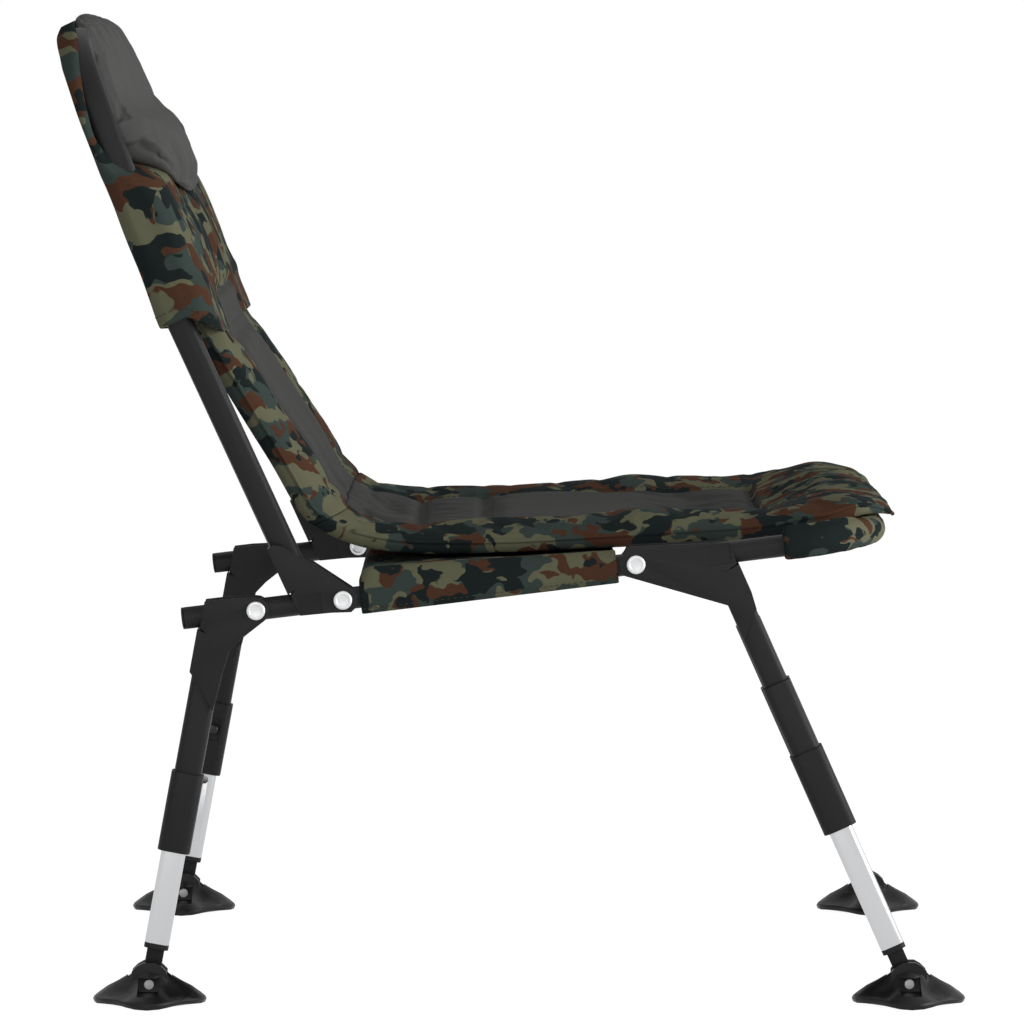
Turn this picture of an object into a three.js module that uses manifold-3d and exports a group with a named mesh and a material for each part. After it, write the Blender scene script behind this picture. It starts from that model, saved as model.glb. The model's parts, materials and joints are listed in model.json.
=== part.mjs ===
// A folding fishing chair with a high padded back, telescopic legs and swivelling mud feet.
// Millimetres, +X to the front, +Z up. The origin is under the middle of the chair, on the ground.

import * as THREE from "three";
import { mergeVertices } from "three/addons/utils/BufferGeometryUtils.js";
import Module from "manifold-3d";

const wasm = await Module();
wasm.setup();

// Clearances and shared details
const FIT_GAP = 0.3; // between pieces that touch
const RUNNING_GAP = 0.6; // beside the rails, between the cheeks
const OVERRUN = 4; // how far a cutter passes the face that it leaves
const SHEET = 2; // pressed steel of the brackets
const CLOTH = 1.6; // woven cover
const WADDING = 3; // padded cover round a tube

// Seat pad, which the frame is built round
const SEAT_PAD_HALF_WIDTH = 244;
const SEAT_PAD_START = 118; // along a rail from its open end
const SEAT_PAD_LENGTH = 502;

// Seat frame: one bent tube, open at the back
const PAD_TO_RAIL = 28.5; // from the pad's edge out to a rail's centre line
const TRACK = 2 * (SEAT_PAD_HALF_WIDTH + PAD_TO_RAIL); // between the two side rails
const RAIL_D = 19;
const RAIL_WALL = 1.5;
const RAIL_SLOPE_DEG = 6.93; // up to the front
const RAIL_REAR_X = -267;
const RAIL_REAR_Z = 332;
const PAD_PAST_STRAIGHT = 98; // the pad goes on over the front bend
const RAIL_STRAIGHT = SEAT_PAD_START + SEAT_PAD_LENGTH - PAD_PAST_STRAIGHT; // run before the front bend
const RAIL_BEND_R = 75;
const RAIL_SIDES = 12;
const RAIL_BEND_STEPS = 6;
const CAP_RIM = 2;
const CAP_INSERT = 14;
const CAP_EDGE_SHARE = 0.8; // flat of the cap, of its radius

// Pivots, measured along a rail from its open end
const REAR_PIVOT_AT = 62;
const BACK_PIVOT_AT = 137;
const PIVOT_BEHIND_BEND = 132.5;
const FRONT_PIVOT_AT = RAIL_STRAIGHT - PIVOT_BEHIND_BEND;
const RIVET_D = 8;
const RIVET_HEAD_D = 16;
const RIVET_HEAD = 2.6;

// Flat-sided tube that the legs and the backrest are made of
const STOCK_WIDTH = 21;
const STOCK_DEPTH = RAIL_D + 2 * RUNNING_GAP - 2 * FIT_GAP;
const STOCK_CORNER = 5;
const STOCK_WALL = 1.5;

// Legs
const REAR_TILT_DEG = 10.5; // back from upright
const REAR_OFFSET = 32.6; // leg axis behind its pivot
const REAR_TUBE_WALL = 0.9;
const REAR_TUBE_TOP = 34; // below the pivot
const REAR_LOCK_AT = 149; // top of the lock sleeve, below the pivot
const REAR_LOCK_LENGTH = 69;
const FRONT_TILT_DEG = -24; // forward from upright
const FRONT_OFFSET = 68; // leg axis ahead of its pivot
const STUB_TOP = 50;
const STUB_LENGTH = 115;
const OUTER_TOP = 143;
const OUTER_WALL = 1.8;
const FRONT_LOCK_AT = 207;
const FRONT_LOCK_LENGTH = 73;
const LOCK_WALL = 2;
const LOCK_LIP = 6; // closed ring under the end of the tube
const SILVER_WALL = 1.2;
const SILVER_OVERLAP = 74; // silver tube inside the tube above it
const HOLE_PITCH = 25;
const HOLES_ABOVE = 1; // over the hole that the lock button faces
const HOLES_BELOW = 2;
const LOCK_HOLE_D = 7.4;

// Lock button, on the side that faces the other leg
const BUTTON_D = 6.4;
const BUTTON_HEAD_D = 9;
const BUTTON_HEAD = 2.4;
const BUTTON_TRAVEL = 2.4;
const WINDOW_WIDTH = 13;
const WINDOW_LENGTH = 22;
const WINDOW_DROP = 14; // from the sleeve's top to the window
const WINDOW_DEPTH = 1.4;

// Leg plug and mud foot
const COLLAR = 4.6;
const NECK_WIDTH = 14.6;
const NECK_DEPTH = 9;
const NECK_DROP = 35.4; // from the collar's top to the foot pin
const PLUG_INSERT = 18;
const FOOT_PIN_Z = 16.6;
const FOOT_PIN_D = 6.4;
const FOOT_D = 98;
const FOOT_VALLEY_SHARE = 0.82; // radius between two lobes, of the radius at a lobe
const FOOT_RIM = 6;
const FOOT_TOP_Z = 35;
const FOOT_SHOULDER_Z = 27.6; // where the ears leave the dome
const EAR_WIDTH = 30;
const EAR_THICK = 5;
const PIN_POCKET_WIDTH = 18;
const PIN_POCKET_HEIGHT = 13;
const FOOT_LOBES = 4;
const FOOT_STEPS = 28;
const FOOT_HOLLOW = 4;
const FOOT_ARCH = 2; // lift of the rim between two lobes

// Backrest frame
const BACK_RECLINE_DEG = 24.6;
const BACK_OFFSET = 27.6; // tube axis behind the pivot
const BACK_TUBE_START = 12; // above the pivot
const BACK_BEND_AT = 280;
const BACK_BEND_DEG = 4.1; // more upright above the bend
const BACK_HEIGHT = 533; // of the top tube's centre line, above the pivot
const BACK_CORNER_R = 92;
const BACK_KINK_R = 200;
const BACK_BEND_STEPS = 5;
const BACK_TUBE_WIDTH = 22;

// Brackets: outlines in shares of each bracket's reach, and the web that joins the cheeks
const REAR_EYE_R = 11.4;
const REAR_CHEEK_DROP = 92;
const REAR_WEB_LENGTH = 37;
const FRONT_EYE_R = 14;
const FRONT_CHEEK_TOP = 16.8;
const FRONT_CHEEK_DROP = 97;
const FRONT_WEB_LENGTH = 40;
const BACK_EYE_R = 12.5;
const BACK_CHEEK_RISE = 68;
const BACK_WEB_LENGTH = 43;
const STOP_GAP = 0.5; // between a web's edge and the rail that it stops on
const RECESS = 0.7;
const RECESS_LENGTH = 22;
const RECESS_WIDTH = 17;

// Seat sling: cloth under the pad, sewn round both rails
const HEM_REAR_RISE = 26;
const HEM_FRONT_RISE = 14;

// Padding
const SEAT_PAD_RISE = 50; // scale of the heights over the rails
const SEAT_PAD_THICKNESS = 26;
const SEAT_PAD_SAG = 20;
const CHANNEL_DEPTH = 5;
const POCKET_LEAD = 5; // the front tube's cover starts this far behind the bend
const BACK_PAD_HALF_WIDTH = SEAT_PAD_HALF_WIDTH;
const BACK_PAD_FROM = 67;
const BACK_PAD_TO = 280;
const BACK_PAD_THICKNESS = 34;
const BACK_PAD_DEPTH = 30; // scale of the places ahead of the pivot
const CREASE_GAP = 2; // between the seat pad and the back pad
const HOOD_FROM = 274;
const HOOD_LIP = 30; // lower at the front than behind
const HOOD_LIP_FROM = -19;
const HOOD_LIP_RUN = 27;
const HOOD_SIDE = 7; // cover beside the tube
const HOOD_DEPTH = 50; // scale of the places behind and ahead of the pivot
const HOOD_TOP = 7;
const PILLOW_OVERHANG = 7.5; // past the rails' centre lines
const PILLOW_HALF_WIDTH = TRACK / 2 + PILLOW_OVERHANG;
const PILLOW_FROM = 371;
const PILLOW_HEIGHT = 185;
const PILLOW_THICKNESS = 25; // scale of the places ahead of the pivot
const PILLOW_END_THINNING = 17;
const PILLOW_CORNER_FROM = 0.55; // share of the half width where the lower corners start
const PILLOW_CORNER_RISE = 68;
const PILLOW_TOP_R = 100;

const RAD = Math.PI / 180;
const SIDES = { left: 1, right: -1 };

const FINISHES = {
  black_steel: { color: 0x323234, roughness: 0.55, metalness: 0.35 },
  black_plastic: { color: 0x26272a, roughness: 0.6, metalness: 0 },
  silver_tube: { color: 0xc4c6c8, roughness: 0.32, metalness: 0.9 },
  bright_rivet: { color: 0xe2e3e4, roughness: 0.35, metalness: 0.6 },
  camo_cloth: { color: 0x4b5043, roughness: 0.92, metalness: 0 },
  grey_cloth: { color: 0x454547, roughness: 0.95, metalness: 0 },
};

const chair = new THREE.Group();

// Solids

function solidOf(geometry) {
  const bare = geometry.clone();
  bare.deleteAttribute("normal");
  bare.deleteAttribute("uv");
  const merged = mergeVertices(bare, FIT_GAP / 1000);
  const triangles = Uint32Array.from(merged.index.array);
  const make = () => new wasm.Manifold(new wasm.Mesh({
    numProp: 3,
    vertProperties: Float32Array.from(merged.attributes.position.array),
    triVerts: triangles,
  }));
  const solid = make();
  if (solid.volume() > 0) return solid;
  for (let i = 0; i < triangles.length; i += 3) {
    [triangles[i], triangles[i + 1]] = [triangles[i + 1], triangles[i]];
  }
  return make();
}

function geometryOf(solid) {
  const mesh = solid.getMesh();
  const positions = new Float32Array(mesh.numVert * 3);
  for (let i = 0; i < mesh.numVert; i += 1) {
    for (let k = 0; k < 3; k += 1) positions[i * 3 + k] = mesh.vertProperties[i * mesh.numProp + k];
  }
  const geometry = new THREE.BufferGeometry();
  geometry.setAttribute("position", new THREE.BufferAttribute(positions, 3));
  geometry.setIndex(new THREE.BufferAttribute(Uint32Array.from(mesh.triVerts), 1));
  geometry.computeVertexNormals();
  return geometry;
}

function addPiece(group, name, finish, solid) {
  const mesh = new THREE.Mesh(geometryOf(solid), new THREE.MeshStandardMaterial(FINISHES[finish]));
  mesh.name = name;
  group.add(mesh);
  return mesh;
}

function addFrame(parent, x, y, z, turnDeg) {
  const group = new THREE.Group();
  group.position.set(x, y, z);
  group.rotation.y = turnDeg * RAD;
  parent.add(group);
  return group;
}

function box(width, depth, height, x, y, z) {
  return solidOf(new THREE.BoxGeometry(width, depth, height).translate(x, y, z));
}

function barAcross(radius, length, x, y, z, sides = 16) {
  return solidOf(new THREE.CylinderGeometry(radius, radius, length, sides).translate(x, y, z));
}

// Sections and outlines

function roundedSection(width, depth, corner, steps = 3) {
  const points = [];
  const corners = [[1, 1, 0], [-1, 1, 90], [-1, -1, 180], [1, -1, 270]];
  for (const [sx, sy, from] of corners) {
    for (let i = 0; i <= steps; i += 1) {
      const angle = (from + (90 * i) / steps) * RAD;
      const cx = sx * (width / 2 - corner);
      const cy = sy * (depth / 2 - corner);
      points.push(new THREE.Vector2(cx + corner * Math.cos(angle), cy + corner * Math.sin(angle)));
    }
  }
  return points;
}

function roundSection(radius, sides) {
  const points = [];
  for (let i = 0; i < sides; i += 1) {
    const angle = (2 * Math.PI * i) / sides;
    points.push(new THREE.Vector2(radius * Math.cos(angle), radius * Math.sin(angle)));
  }
  return points;
}

function arcPoints(cx, cy, radius, fromDeg, toDeg, steps) {
  const points = [];
  for (let i = 0; i <= steps; i += 1) {
    const angle = (fromDeg + ((toDeg - fromDeg) * i) / steps) * RAD;
    points.push(new THREE.Vector2(cx + radius * Math.cos(angle), cy + radius * Math.sin(angle)));
  }
  return points;
}

function extrudeUp(outline, bottom, top) {
  const shape = new THREE.Shape(outline);
  const geometry = new THREE.ExtrudeGeometry(shape, { depth: top - bottom, bevelEnabled: false });
  return solidOf(geometry.translate(0, 0, bottom));
}

function hollowBar(width, depth, corner, wall, bottom, top) {
  const outside = extrudeUp(roundedSection(width, depth, corner), bottom, top);
  const bore = roundedSection(width - 2 * wall, depth - 2 * wall, corner - wall);
  return outside.subtract(extrudeUp(bore, bottom - OVERRUN, top + OVERRUN));
}

// An outline drawn in X and Z, as thick as wanted along Y
function plate(outline, thickness, y) {
  const shape = new THREE.Shape(outline);
  const geometry = new THREE.ExtrudeGeometry(shape, { depth: thickness, bevelEnabled: false });
  return solidOf(geometry.rotateX(Math.PI / 2).translate(0, y + thickness / 2, 0));
}

// A path of straight runs joined by bends, whose steps all lie in the bends
class BentPath extends THREE.Curve {
  constructor(corners, radii, bendSteps) {
    super();
    this.points = [corners[0]];
    for (let i = 1; i < corners.length - 1; i += 1) {
      const here = corners[i];
      const back = corners[i - 1].clone().sub(here).normalize();
      const ahead = corners[i + 1].clone().sub(here).normalize();
      const half = Math.acos(THREE.MathUtils.clamp(back.dot(ahead), -1, 1)) / 2;
      const radius = radii[i - 1];
      const centre = back.clone().add(ahead).normalize().multiplyScalar(radius / Math.sin(half)).add(here);
      const from = here.clone().addScaledVector(back, radius / Math.tan(half)).sub(centre);
      const axis = back.clone().cross(from).normalize();
      const sweep = Math.PI - 2 * half;
      const steps = Math.max(Math.ceil((bendSteps * sweep) / (Math.PI / 2)), 1);
      for (let k = 0; k <= steps; k += 1) {
        this.points.push(from.clone().applyAxisAngle(axis, (sweep * k) / steps).add(centre));
      }
    }
    this.points.push(corners[corners.length - 1]);
  }

  getPoint(t) {
    const at = t * (this.points.length - 1);
    const i = Math.min(Math.floor(at), this.points.length - 2);
    return this.points[i].clone().lerp(this.points[i + 1], at - i);
  }

  getPointAt(u) {
    return this.getPoint(u);
  }

  getTangentAt(u) {
    const last = this.points.length - 1;
    const i = Math.round(u * last);
    const before = this.points[Math.max(i - 1, 0)];
    const after = this.points[Math.min(i + 1, last)];
    const here = this.points[i];
    const into = i > 0 ? here.clone().sub(before).normalize() : new THREE.Vector3();
    const out = i < last ? after.clone().sub(here).normalize() : new THREE.Vector3();
    return into.add(out).normalize();
  }

  getSpacedPoints(divisions) {
    return this.getPoints(divisions);
  }
}

function sweep(path, section) {
  const steps = path.points.length - 1;
  return solidOf(new THREE.ExtrudeGeometry(new THREE.Shape(section), { steps, extrudePath: path }));
}

// Rings of equal count joined in order, closed at both ends by a fan
function loft(rings) {
  const count = rings[0].length;
  const positions = [];
  const index = [];
  for (const ring of rings) for (const p of ring) positions.push(p.x, p.y, p.z);
  for (let r = 0; r < rings.length - 1; r += 1) {
    for (let i = 0; i < count; i += 1) {
      const a = r * count + i;
      const b = r * count + ((i + 1) % count);
      index.push(a, b, a + count, b, b + count, a + count);
    }
  }
  for (const [r, flip] of [[0, true], [rings.length - 1, false]]) {
    const middle = new THREE.Vector3();
    for (const p of rings[r]) middle.addScaledVector(p, 1 / count);
    const centre = positions.length / 3;
    positions.push(middle.x, middle.y, middle.z);
    for (let i = 0; i < count; i += 1) {
      const a = r * count + i;
      const b = r * count + ((i + 1) % count);
      if (flip) index.push(centre, b, a);
      else index.push(centre, a, b);
    }
  }
  const geometry = new THREE.BufferGeometry();
  geometry.setAttribute("position", new THREE.Float32BufferAttribute(positions, 3));
  geometry.setIndex(index);
  return solidOf(geometry);
}

// Reads a table of [place, value, value ...] rows between its rows
function readRow(table, at) {
  let i = 0;
  while (i < table.length - 2 && table[i + 1][0] < at) i += 1;
  const [low, high] = [table[i], table[i + 1]];
  const t = THREE.MathUtils.clamp((at - low[0]) / (high[0] - low[0]), 0, 1);
  return low.map((value, k) => value + (high[k] - value) * t);
}

// Seat frame

const railSlope = RAIL_SLOPE_DEG * RAD;
const halfTrack = TRACK / 2;
const cheekInside = RAIL_D / 2 + RUNNING_GAP;
const cheekOutside = cheekInside + SHEET;
const frontTubeAt = RAIL_STRAIGHT + RAIL_BEND_R;

function railPoint(along) {
  return {
    x: RAIL_REAR_X + along * Math.cos(railSlope),
    z: RAIL_REAR_Z + along * Math.sin(railSlope),
  };
}

const seat = addFrame(chair, RAIL_REAR_X, 0, RAIL_REAR_Z, -RAIL_SLOPE_DEG);

const seatPath = new BentPath([
  new THREE.Vector3(0, -halfTrack, 0),
  new THREE.Vector3(frontTubeAt, -halfTrack, 0),
  new THREE.Vector3(frontTubeAt, halfTrack, 0),
  new THREE.Vector3(0, halfTrack, 0),
], [RAIL_BEND_R, RAIL_BEND_R], RAIL_BEND_STEPS);

const longSeatPath = new BentPath([
  new THREE.Vector3(-OVERRUN, -halfTrack, 0),
  new THREE.Vector3(frontTubeAt, -halfTrack, 0),
  new THREE.Vector3(frontTubeAt, halfTrack, 0),
  new THREE.Vector3(-OVERRUN, halfTrack, 0),
], [RAIL_BEND_R, RAIL_BEND_R], RAIL_BEND_STEPS);

function buildSeatFrame() {
  let tube = sweep(seatPath, roundSection(RAIL_D / 2, RAIL_SIDES));
  tube = tube.subtract(sweep(longSeatPath, roundSection(RAIL_D / 2 - RAIL_WALL, RAIL_SIDES)));
  for (const at of [REAR_PIVOT_AT, BACK_PIVOT_AT, FRONT_PIVOT_AT]) {
    for (const side of Object.values(SIDES)) {
      const length = RAIL_D + 2 * OVERRUN;
      tube = tube.subtract(barAcross(RIVET_D / 2 + FIT_GAP, length, at, side * halfTrack, 0));
    }
  }
  addPiece(seat, "seat_frame_tube", "black_steel", tube);
}

// A domed plug pressed into the open end of a rail
function buildRailCaps() {
  const rimR = RAIL_D / 2;
  const insertR = rimR - RAIL_WALL - FIT_GAP;
  const profile = [
    new THREE.Vector2(0, -CAP_INSERT),
    new THREE.Vector2(insertR, -CAP_INSERT),
    new THREE.Vector2(insertR, FIT_GAP),
    new THREE.Vector2(rimR, FIT_GAP),
    new THREE.Vector2(rimR, CAP_RIM),
    new THREE.Vector2(rimR * CAP_EDGE_SHARE, CAP_RIM + FIT_GAP),
    new THREE.Vector2(0, CAP_RIM + 2 * FIT_GAP),
  ];
  for (const [name, side] of Object.entries(SIDES)) {
    const cap = new THREE.LatheGeometry(profile, 20).rotateZ(Math.PI / 2).translate(0, side * halfTrack, 0);
    addPiece(seat, `rail_cap_${name}`, "black_plastic", solidOf(cap));
  }
}

// One rivet through both cheeks and the rail, headed on both sides
function buildRivets() {
  const reach = cheekOutside + FIT_GAP;
  const headR = RIVET_HEAD_D / 2;
  const shankR = RIVET_D / 2;
  const half = [
    new THREE.Vector2(shankR, reach),
    new THREE.Vector2(headR, reach),
    new THREE.Vector2(headR, reach + RIVET_HEAD * 0.45),
    new THREE.Vector2(headR * 0.65, reach + RIVET_HEAD),
    new THREE.Vector2(0, reach + RIVET_HEAD),
  ];
  const profile = [...half.map((p) => new THREE.Vector2(p.x, -p.y)).reverse(), ...half];
  const places = { rear_leg: REAR_PIVOT_AT, backrest: BACK_PIVOT_AT, front_leg: FRONT_PIVOT_AT };
  for (const [label, at] of Object.entries(places)) {
    for (const [name, side] of Object.entries(SIDES)) {
      const rivet = new THREE.LatheGeometry(profile, 18).translate(at, side * halfTrack, 0);
      addPiece(seat, `${label}_rivet_${name}`, "bright_rivet", solidOf(rivet));
    }
  }
}

// Pressed brackets: a channel whose two cheeks straddle a rail, closed by a web on one side

// Height of the rail's centre line over a bracket's own X, and its edge below (-1) or above (+1)
function railEdge(x, tiltDeg, edge) {
  const slope = railSlope + tiltDeg * RAD;
  return x * Math.tan(slope) + (edge * (RAIL_D / 2)) / Math.cos(slope);
}

function channel(outline, cavity, eyeHole = RIVET_D / 2 + FIT_GAP) {
  const whole = plate(outline, 2 * cheekOutside, 0);
  const inside = plate(cavity, 2 * cheekInside, 0);
  return whole.subtract(inside).subtract(barAcross(eyeHole, 2 * cheekOutside + 2 * OVERRUN, 0, 0, 0));
}

function recessPair(solid, x, z, turnDeg) {
  let cut = solid;
  for (const face of [-1, 1]) {
    const cutter = new THREE.BoxGeometry(RECESS_LENGTH, 2 * RECESS, RECESS_WIDTH);
    cutter.rotateY(-turnDeg * RAD).translate(x, face * cheekOutside, z);
    cut = cut.subtract(solidOf(cutter));
  }
  return cut;
}

function rearBracket() {
  const tubeHalf = (STOCK_WIDTH + 2 * FIT_GAP + 2 * REAR_TUBE_WALL) / 2;
  const webIn = -REAR_OFFSET - tubeHalf - FIT_GAP;
  const webOut = webIn - SHEET;
  const webTop = railEdge(webOut, REAR_TILT_DEG, -1) - STOP_GAP;
  const webEnd = webTop - REAR_WEB_LENGTH;
  const front = -REAR_OFFSET + tubeHalf;
  const drop = -REAR_CHEEK_DROP;
  const outline = [
    ...arcPoints(0, 0, REAR_EYE_R, -35, 100, 9),
    new THREE.Vector2(webOut * 0.6, REAR_EYE_R * 0.45),
    new THREE.Vector2(webOut + SHEET, 0),
    new THREE.Vector2(webOut + SHEET, webTop + SHEET),
    new THREE.Vector2(webIn + 3 * SHEET, webTop - SHEET),
    new THREE.Vector2(webOut, webTop),
    new THREE.Vector2(webOut, webEnd),
    new THREE.Vector2(webIn, webEnd - SHEET),
    new THREE.Vector2(front, drop),
    new THREE.Vector2(front + SHEET, drop * 0.66),
    new THREE.Vector2(front * 0.78, drop * 0.42),
    new THREE.Vector2(front * 0.6, drop * 0.36),
    new THREE.Vector2(front * 0.4, drop * 0.29),
  ];
  const far = REAR_EYE_R + OVERRUN;
  const cavity = [
    new THREE.Vector2(webIn, drop - OVERRUN),
    new THREE.Vector2(far, drop - OVERRUN),
    new THREE.Vector2(far, far),
    new THREE.Vector2(webOut - OVERRUN, far),
    new THREE.Vector2(webOut - OVERRUN, webTop),
    new THREE.Vector2(webIn, webTop),
  ];
  return channel(outline, cavity);
}

function frontBracket() {
  const tubeHalf = STOCK_WIDTH / 2;
  const webIn = FRONT_OFFSET + tubeHalf + FIT_GAP;
  const webOut = webIn + SHEET;
  const webTop = railEdge(webOut, FRONT_TILT_DEG, -1) - STOP_GAP;
  const webEnd = webTop - FRONT_WEB_LENGTH;
  const behind = FRONT_OFFSET - tubeHalf;
  const drop = -FRONT_CHEEK_DROP;
  const railTop = railEdge(webOut, FRONT_TILT_DEG, 1);
  const outline = [
    new THREE.Vector2(0, FRONT_CHEEK_TOP),
    ...arcPoints(0, 0, FRONT_EYE_R, 110, 200, 6),
    new THREE.Vector2(behind, drop * 0.66),
    new THREE.Vector2(behind + SHEET, drop * 0.72),
    new THREE.Vector2(behind + SHEET, drop),
    new THREE.Vector2(webIn - 2 * SHEET, webEnd - 2 * SHEET),
    new THREE.Vector2(webOut - SHEET, webEnd - SHEET),
    new THREE.Vector2(webOut, webEnd * 0.82),
    new THREE.Vector2(webOut, webTop),
    new THREE.Vector2(webOut - 7 * SHEET, webTop - SHEET),
    new THREE.Vector2(webOut - SHEET, webTop + 2 * STOP_GAP),
    new THREE.Vector2(webOut, railTop),
  ];
  const far = FRONT_EYE_R + OVERRUN;
  const cavity = [
    new THREE.Vector2(-far, drop - OVERRUN),
    new THREE.Vector2(webIn, drop - OVERRUN),
    new THREE.Vector2(webIn, webTop),
    new THREE.Vector2(webOut + OVERRUN, webTop),
    new THREE.Vector2(webOut + OVERRUN, far),
    new THREE.Vector2(-far, far),
  ];
  const turn = RAIL_SLOPE_DEG + FRONT_TILT_DEG;
  const at = webOut - RECESS_LENGTH / 2 - SHEET;
  return recessPair(channel(outline, cavity), at, railEdge(at, FRONT_TILT_DEG, 0), turn);
}

function backBracket() {
  const tubeHalf = BACK_TUBE_WIDTH / 2;
  const webIn = -BACK_OFFSET - tubeHalf - FIT_GAP;
  const webOut = webIn - SHEET;
  const webLow = railEdge(webOut, -BACK_RECLINE_DEG, 1) + STOP_GAP;
  const webTop = webLow + BACK_WEB_LENGTH;
  const railLow = railEdge(webOut, -BACK_RECLINE_DEG, -1);
  const top = BACK_CHEEK_RISE;
  const outline = [
    ...arcPoints(0, 0, BACK_EYE_R, -80, 35, 8),
    new THREE.Vector2(-BACK_OFFSET * 0.33, top * 0.56),
    new THREE.Vector2(-BACK_OFFSET * 0.68, top * 0.74),
    new THREE.Vector2(-BACK_OFFSET, top * 0.93),
    new THREE.Vector2(-BACK_OFFSET - tubeHalf * 0.6, top),
    new THREE.Vector2(webOut, webTop),
    new THREE.Vector2(webOut, webLow),
    new THREE.Vector2(webIn + 3 * SHEET, webLow + SHEET),
    new THREE.Vector2(webOut + SHEET, webLow - SHEET),
    new THREE.Vector2(webOut + SHEET, railLow),
    new THREE.Vector2(-BACK_OFFSET * 0.5, -BACK_EYE_R * 0.45),
  ];
  const far = BACK_EYE_R + OVERRUN;
  const cavity = [
    new THREE.Vector2(webOut - OVERRUN, -far),
    new THREE.Vector2(far, -far),
    new THREE.Vector2(far, top + OVERRUN),
    new THREE.Vector2(webIn, top + OVERRUN),
    new THREE.Vector2(webIn, webLow),
    new THREE.Vector2(webOut - OVERRUN, webLow),
  ];
  const turn = RAIL_SLOPE_DEG - BACK_RECLINE_DEG;
  const at = webOut + RECESS_LENGTH / 2 + SHEET;
  return recessPair(channel(outline, cavity), at, railEdge(at, -BACK_RECLINE_DEG, 0), turn);
}

// Legs

// Moulded sleeve over the end of a tube, with a window for the lock button
function lockSleeve(tubeWidth, tubeDepth, boreWidth, boreDepth, top, length, inward) {
  const width = tubeWidth + 2 * FIT_GAP + 2 * LOCK_WALL;
  const depth = tubeDepth + 2 * FIT_GAP + 2 * LOCK_WALL;
  const corner = STOCK_CORNER + LOCK_WALL;
  const bottom = -top - length;
  const tubeCorner = corner - LOCK_WALL + FIT_GAP;
  const socket = roundedSection(tubeWidth + 2 * FIT_GAP, tubeDepth + 2 * FIT_GAP, tubeCorner);
  const guide = roundedSection(boreWidth, boreDepth, STOCK_CORNER - FIT_GAP);
  let sleeve = extrudeUp(roundedSection(width, depth, corner), bottom, -top);
  sleeve = sleeve.subtract(extrudeUp(socket, bottom + LOCK_LIP, -top + OVERRUN));
  sleeve = sleeve.subtract(extrudeUp(guide, bottom - OVERRUN, bottom + LOCK_LIP + OVERRUN));
  const windowZ = -top - WINDOW_DROP - WINDOW_LENGTH / 2;
  const face = (inward * depth) / 2;
  sleeve = sleeve.subtract(box(WINDOW_WIDTH, 2 * WINDOW_DEPTH, WINDOW_LENGTH, 0, face, windowZ));
  const hole = barAcross(BUTTON_D / 2 + FIT_GAP, depth, 0, face, windowZ);
  return { sleeve: sleeve.subtract(hole), windowZ, face, depth };
}

function lockButton(sleeve, tubeDepth, wall, inward) {
  const seatY = sleeve.depth / 2 - WINDOW_DEPTH + FIT_GAP + BUTTON_TRAVEL;
  const tipY = tubeDepth / 2 - wall + FIT_GAP;
  const profile = [
    new THREE.Vector2(0, tipY),
    new THREE.Vector2(BUTTON_D / 2, tipY),
    new THREE.Vector2(BUTTON_D / 2, seatY),
    new THREE.Vector2(BUTTON_HEAD_D / 2, seatY),
    new THREE.Vector2(BUTTON_HEAD_D / 2, seatY + BUTTON_HEAD * 0.6),
    new THREE.Vector2((BUTTON_HEAD_D / 2) * 0.7, seatY + BUTTON_HEAD),
    new THREE.Vector2(0, seatY + BUTTON_HEAD),
  ];
  const button = new THREE.LatheGeometry(profile, 20);
  if (inward < 0) button.rotateZ(Math.PI);
  return solidOf(button.translate(0, 0, sleeve.windowZ));
}

function plugSolid(width, depth, wall, pinZ) {
  const collarTop = pinZ + NECK_DROP;
  const corner = STOCK_CORNER;
  const insertWidth = width - 2 * wall - 2 * FIT_GAP;
  const insertDepth = depth - 2 * wall - 2 * FIT_GAP;
  const insert = roundedSection(insertWidth, insertDepth, corner - wall - FIT_GAP);
  const collarBottom = collarTop - COLLAR;
  let plug = extrudeUp(roundedSection(width, depth, corner), collarBottom, collarTop - FIT_GAP);
  plug = plug.add(extrudeUp(insert, collarTop - COLLAR / 2, collarTop + PLUG_INSERT));
  plug = plug.add(box(NECK_WIDTH, NECK_DEPTH, collarTop - pinZ - COLLAR / 2, 0, 0, (pinZ + collarTop - COLLAR / 2) / 2));
  plug = plug.add(barAcross(NECK_WIDTH / 2, NECK_DEPTH, 0, 0, pinZ));
  return plug.subtract(barAcross(FOOT_PIN_D / 2 + FIT_GAP, NECK_DEPTH + 2 * OVERRUN, 0, 0, pinZ));
}

// Mud foot: a domed plate with four lobes, raised tips and two ears that hold the leg's neck

const footRadius = FOOT_D / 2;
const earTopR = EAR_WIDTH / 2;
const slotHalf = NECK_DEPTH / 2 + RUNNING_GAP;
const earOutside = slotHalf + EAR_THICK;
const footPinHeadR = FOOT_PIN_D / 2 + 1;

// 0 in the valley between two lobes, 1 at the tip of a lobe
function lobeShare(angle) {
  return 0.5 + 0.5 * Math.cos(FOOT_LOBES * angle);
}

function footRing(radiusShare, heightAt) {
  const ring = [];
  for (let i = 0; i < FOOT_STEPS; i += 1) {
    const angle = (2 * Math.PI * i) / FOOT_STEPS;
    const lobe = lobeShare(angle);
    const reach = footRadius * (FOOT_VALLEY_SHARE + (1 - FOOT_VALLEY_SHARE) * lobe);
    const hub = earTopR;
    const radius = hub + (reach - hub) * radiusShare;
    ring.push(new THREE.Vector3(radius * Math.cos(angle), radius * Math.sin(angle), heightAt(lobe)));
  }
  return ring;
}

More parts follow.
